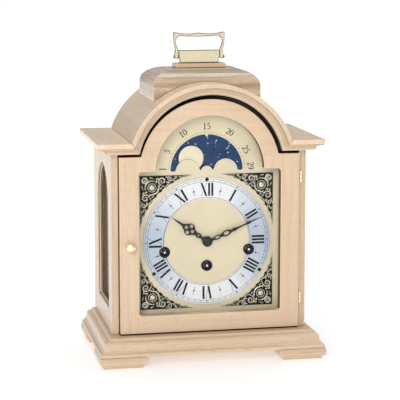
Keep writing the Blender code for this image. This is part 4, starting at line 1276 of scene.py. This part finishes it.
class OBJECT_OT_clock_winding(bpy.types.Operator):
    """Winding collars, black linings behind them that paint the shade inside the holes, and the geared barrels on
    their arbors
    """

    bl_idname = "object.clock_winding"
    bl_label = "Winding"

    def execute(self, context):
        for train in ("strike", "time", "chime"):
            pivot = PIVOT[train + "_winding"]
            self.collar(train, pivot)
            self.barrel(train, pivot)
        return {"FINISHED"}

    def collar(self, train, pivot):
        """A rolled ring in the dial, and a black lining round the arbor that paints the shade inside the hole."""
        name = "winding_collar_" + train
        _, high, outer, reach = round_box(name)
        inner, roll = outer - 0.0009, 0.0003
        centre = (pivot.x, high.y, pivot.z)
        ring = [(inner, reach - roll), (inner + roll, reach), (outer - roll, reach),
                (outer, reach - roll), (outer, 0.0), (inner, 0.0)]
        bm = lathe(bmesh.new(), ring, centre, 40, closed=True)
        built(name + "_turned", bm, ink(), name)
        # Painted shade: a black tube and floor behind the collar, set where the hole is only in shadow
        depth, floor, mouth, hole = 0.0085, 0.0004, reach - 0.0009, 0.0031
        wall = [(inner - 0.00005, mouth), (inner - 0.00005, -depth), (hole, -depth),
                (hole, -depth - floor), (outer - 0.0002, -depth - floor), (outer - 0.0002, -0.0001),
                (inner + 0.0001, -0.0001), (inner + 0.0001, mouth)]
        bm = lathe(bmesh.new(), wall, centre, 40, closed=True)
        built("winding_shade_lining_" + train, bm, ink(), body="case")

    def barrel(self, train, pivot):
        """A toothed barrel on a steel arbor with a square end. Lengths run from Y = 0 forwards."""
        node = train + "_barrel"
        low, _, rim, _ = round_box(node)
        tip, root, drum = rim - 0.0001, rim - 0.0019, rim - 0.0022
        centre = (pivot.x, 0.0, pivot.z)
        bm = bmesh.new()
        teeth = toothed(centre, 60, ((0.0, root), (0.25, tip), (0.5, tip), (0.75, root)))
        wheel_front, wheel_back = -0.0170, -0.0150
        slab(bm, teeth, wheel_front, wheel_back)
        lid, floor = 0.0190, -0.0090
        shell = [(0.0, 0.0198), (drum * 0.35, 0.0198), (drum * 0.42, lid), (drum * 0.86, lid),
                 (drum * 0.90, 0.0196), (drum, 0.0194), (drum, -0.0086), (drum * 0.96, floor),
                 (0.0, floor)]
        lathe(bm, shell, centre, 64)
        arbor, front, back = 0.0026, 0.0340, -0.0180
        lathe(bm, [(0.0, front), (arbor, front), (arbor, back), (0.0, back)], centre, 24, material=1)
        half, chamfer, square_foot = 0.0019, 0.0004, -0.0330
        first, second = (-half, chamfer - half), (-half, half - chamfer)
        square = []
        for _ in range(4):
            square += [first, second]
            first, second = (first[1], -first[0]), (second[1], -second[0])
        slab(bm, [(pivot.x + x, pivot.z + z) for x, z in square], low.y + 0.0005, square_foot, 2)
        end = [(pivot.x + 0.55 * x, pivot.z + 0.55 * z) for x, z in square]
        slab(bm, end, low.y, low.y + 0.0006, 1)
        built(node + "_geared", bm, [brass_plain(), steel(), ink()], node)


# Movement, glass and back

class OBJECT_OT_clock_movement(bpy.types.Operator):
    """Plates, wheels, gong and hammers inside the case"""

    bl_idname = "object.clock_movement"
    bl_label = "Movement"

    def execute(self, context):
        board = kept("inner_plywood", board_look)
        eased("dial_mask", kept("inner_stained", stained_look), 0.0004, 1)
        eased("seat_board", board, 0.0004, 1)
        for node in ("movement_front_plate", "movement_back_plate"):
            eased(node, brass_plain(), 0.0002, 2)
        repaint("minute_arbor", brass_plain())
        self.wheel("hour_pipe_wheel", "hour_turn", 64, 0.0009)
        self.wheel("motion_wheel", "motion_work_turn", 48, 0.0009)
        self.balance()
        eased("gong_rods", black(), 0.0003, 2)
        eased("hammer_rack", steel(), 0.00015, 1)
        for side in ("left", "right"):
            repaint("side_glass_" + side, kept("glass_clear", glass_look))
        return {"FINISHED"}

    def wheel(self, node, joint, teeth, depth):
        """The node's own turning with teeth cut round its widest disc."""
        obj = eased(node, brass_plain(), 0.0001, 1)
        rim = round_box(node)[2]
        pivot = PIVOT[joint]
        proud = 0.00004
        faces = [vert.co.y for vert in obj.data.vertices
                 if hypot(vert.co.x - pivot.x, vert.co.z - pivot.z) > rim - 0.0002]
        root = rim - depth
        outline = toothed(pivot, teeth, ((-0.27, root), (-0.12, rim), (0.12, rim), (0.27, root)))
        bm = bmesh.new()
        for i in range(0, len(outline), 4):
            slab(bm, outline[i:i + 4], min(faces) - proud, max(faces) + proud)
        built(node + "_teeth", bm, brass_plain(), body=BODY_OF[node])

    def balance(self):
        """A spoked balance with timing screws round its rim."""
        _, high, rim, reach = round_box("balance_wheel")
        pivot = PIVOT["balance_swing"]
        plane = high.y - 0.0033
        centre = (pivot.x, plane, pivot.z)
        outer, inner, thick, half_spoke = rim - 0.0008, rim - 0.0016, 0.0007, 0.0006
        bm = bmesh.new()
        rim_section = [(inner, thick), (outer, thick), (outer, -thick), (inner, -thick)]
        lathe(bm, rim_section, centre, 48, closed=True)
        for turn in (0.0, 2 * pi / 3, 4 * pi / 3):
            u, v = half_spoke * sin(turn), -half_spoke * cos(turn)
            x, z = around(centre, rim - 0.0012, turn)
            spoke = [(pivot.x + u, pivot.z + v), (x + u, z + v), (x - u, z - v),
                     (pivot.x - u, pivot.z - v)]
            slab(bm, spoke, plane - 0.0004, plane + 0.0004)
        size = 0.0005
        for i in range(12):
            x, z = around(centre, rim - size, 2 * pi * (i + 0.5) / 12)
            lathe(bm, [(0.0, size), (size, size), (size, -size), (0.0, -size)], (x, plane, z), 8)
        lathe(bm, [(0.0, reach), (0.0008, reach), (0.0008, 0.0), (0.0, 0.0)],
              (pivot.x, high.y, pivot.z), 16, material=1)
        built("balance_spoked", bm, [brass_plain(), steel()], "balance_wheel")


class OBJECT_OT_clock_back(bpy.types.Operator):
    """Rear frame, its door, long hinge with screws, and pull"""

    bl_idname = "object.clock_back"
    bl_label = "Back"

    def execute(self, context):
        # The lighter wood on the eased edges is a painted highlight along them, with some real rubbing
        wooden("back_frame", wood("Z", 0.86, 0.45, 14), 0.7, wood("Z", 0.95, 0.2, 15))
        wooden("back_door", wood("Z", 0.90, 0.50, 16), 0.7, wood("Z", 0.98, 0.2, 17))
        for node in ("back_hinge_frame_leaf", "back_hinge_door_leaf"):
            eased(node, brass_plain(), 0.0001, 1)
            self.screws(node)
        low, high, radius, reach = round_box("back_door_pull")
        profile = dome(radius, reach, ((0.0, 0.0), (0.35, 0.03), (0.70, 0.2), (0.92, 0.6), (1.0, 1.0)))
        profile += [(radius, 0.0), (0.0, 0.0)]
        centre = ((low.x + high.x) / 2, low.y, (low.z + high.z) / 2)
        bm = lathe(bmesh.new(), [(out, -along) for out, along in profile], centre, 36)
        built("back_door_pull_turned", bm, brass(), "back_door_pull")
        return {"FINISHED"}

    def screws(self, node):
        """Three slotted screws in a leaf of the long hinge."""
        low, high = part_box(node)
        inset = 0.0035
        x = high.x - inset if node == "back_hinge_frame_leaf" else low.x + inset
        face = PIVOT["back_door_hinge"].y + 0.0005
        head = [(0.0, -0.0005), (0.0008, -0.00045), (0.0014, -0.0002), (0.0016, 0.0001), (0.0, 0.0001)]
        bm = bmesh.new()
        for share in (0.12, 0.5, 0.88):
            z = low.z + (high.z - low.z) * share
            lathe(bm, head, (x, face, z), 20)
            slot = upright_quad(x - 0.0013, x + 0.0013, z - 0.00018, z + 0.00018)
            slab(bm, slot, face + 0.0002, face + 0.00052, 1)
        built(node + "_screws", bm, [brass(), black()], body=BODY_OF[node])


# Studio

class OBJECT_OT_clock_stage(bpy.types.Operator):
    """Pale floor, soft lights and the camera"""

    bl_idname = "object.clock_stage"
    bl_label = "Stage"

    def execute(self, context):
        bm = bmesh.new()
        bmesh.ops.create_grid(bm, x_segments=8, y_segments=8, size=6.0)
        floor = bpy.data.objects.new("studio_floor", mesh_from("studio_floor", bm))
        floor.data.materials.append(kept("studio_floor", floor_look))
        context.scene.collection.objects.link(floor)
        floor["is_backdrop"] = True
        self.light("key_softbox", (-0.7, -1.75, 0.95), (0.0, 0.0, 0.15), 0.8, 16.0, (1.0, 0.98, 0.95))
        self.light("side_softbox", (-1.9, -0.2, 1.0), (0.0, 0.0, 0.16), 1.2, 3.0, (0.86, 0.92, 1.0))
        self.light("top_softbox", (0.2, 0.7, 2.2), (0.0, 0.0, 0.2), 1.4, 16.0, (0.84, 0.91, 1.0))
        self.world(context.scene)
        self.camera(context.scene)
        context.scene.view_settings.view_transform = "Standard"
        return {"FINISHED"}

    def light(self, name, place, target, size, power, tone):
        data = bpy.data.lights.new(name, "AREA")
        data.shape = "SQUARE"
        data.size = size
        data.energy = power
        data.color = tone
        lamp = bpy.data.objects.new(name, data)
        lamp.location = place
        aim = Vector(target) - Vector(place)
        lamp.rotation_euler = aim.to_track_quat("-Z", "Y").to_euler()
        bpy.context.scene.collection.objects.link(lamp)

    def world(self, scene):
        """White behind the clock, and a softer white for lighting it."""
        recipe = Recipe(bpy.data.worlds.new("studio_air"), "Background")
        air = recipe.node("ShaderNodeTexCoord", {}, {}, "Generated")
        height = recipe.node("ShaderNodeSeparateXYZ", {}, {0: air}, "Z")
        limits = {"From Min": -0.1, "From Max": 0.8, "To Min": 0.40, "To Max": 0.50}
        lit = recipe.node("ShaderNodeMapRange", {}, {"Value": height, **limits})
        seen = recipe.node("ShaderNodeLightPath", {}, {}, "Is Camera Ray")
        strength = recipe.node("ShaderNodeMapRange", {}, {"Value": seen, "To Min": lit, "To Max": 1.0})
        scene.world = recipe.finish(Color=grey(1.0), Strength=strength)

    def camera(self, scene):
        data = bpy.data.cameras.new("studio_camera")
        data.sensor_width = 36.0
        data.lens = 137.8
        camera = bpy.data.objects.new("studio_camera", data)
        camera.location = (-0.3377, -1.6697, 0.4469)
        down, turned = 9.27, -11.45
        camera.rotation_euler = (radians(90 - down), 0.0, radians(turned))
        scene.collection.objects.link(camera)
        scene.camera = camera


PIECES = (OBJECT_OT_clock_case, OBJECT_OT_clock_door, OBJECT_OT_clock_handle, OBJECT_OT_clock_dial,
          OBJECT_OT_clock_spandrels, OBJECT_OT_clock_moon, OBJECT_OT_clock_hands,
          OBJECT_OT_clock_winding, OBJECT_OT_clock_movement, OBJECT_OT_clock_back,
          OBJECT_OT_clock_stage)


class VIEW3D_PT_mantel_clock(bpy.types.Panel):
    """The clock's sizes, finishes and pieces"""

    bl_label = "Mantel Clock"
    bl_idname = "VIEW3D_PT_mantel_clock"
    bl_space_type = "VIEW_3D"
    bl_region_type = "UI"
    bl_category = "Mantel Clock"

    def draw(self, context):
        for group in (context.scene.clock_sizes, context.scene.clock_finishes):
            box = self.layout.box()
            for key in group.bl_rna.properties.keys():
                if key not in ("rna_type", "name"):
                    box.prop(group, key)
        for operator in PIECES:
            self.layout.operator(operator.bl_idname)


CLASSES = (ClockSizes, ClockFinishes, *PIECES, VIEW3D_PT_mantel_clock)


def register():
    for cls in CLASSES:
        bpy.utils.register_class(cls)
    bpy.types.Scene.clock_sizes = bpy.props.PointerProperty(type=ClockSizes)
    bpy.types.Scene.clock_finishes = bpy.props.PointerProperty(type=ClockFinishes)


def unregister():
    del bpy.types.Scene.clock_finishes
    del bpy.types.Scene.clock_sizes
    for cls in reversed(CLASSES):
        bpy.utils.unregister_class(cls)


def corners():
    """The low and high corners of all that is in the scene."""
    return [list(corner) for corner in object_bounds()]


def main():
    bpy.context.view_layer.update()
    register()
    bpy.ops.object.clock_case()
    bpy.ops.object.clock_door()
    bpy.ops.object.clock_handle()
    bpy.ops.object.clock_dial()
    bpy.ops.object.clock_spandrels()
    bpy.ops.object.clock_moon()
    bpy.ops.object.clock_hands()
    bpy.ops.object.clock_winding()
    bpy.ops.object.clock_movement()
    bpy.ops.object.clock_back()
    bpy.ops.object.clock_stage()
    bpy.context.view_layer.update()


if __name__ == "__main__":
    main()
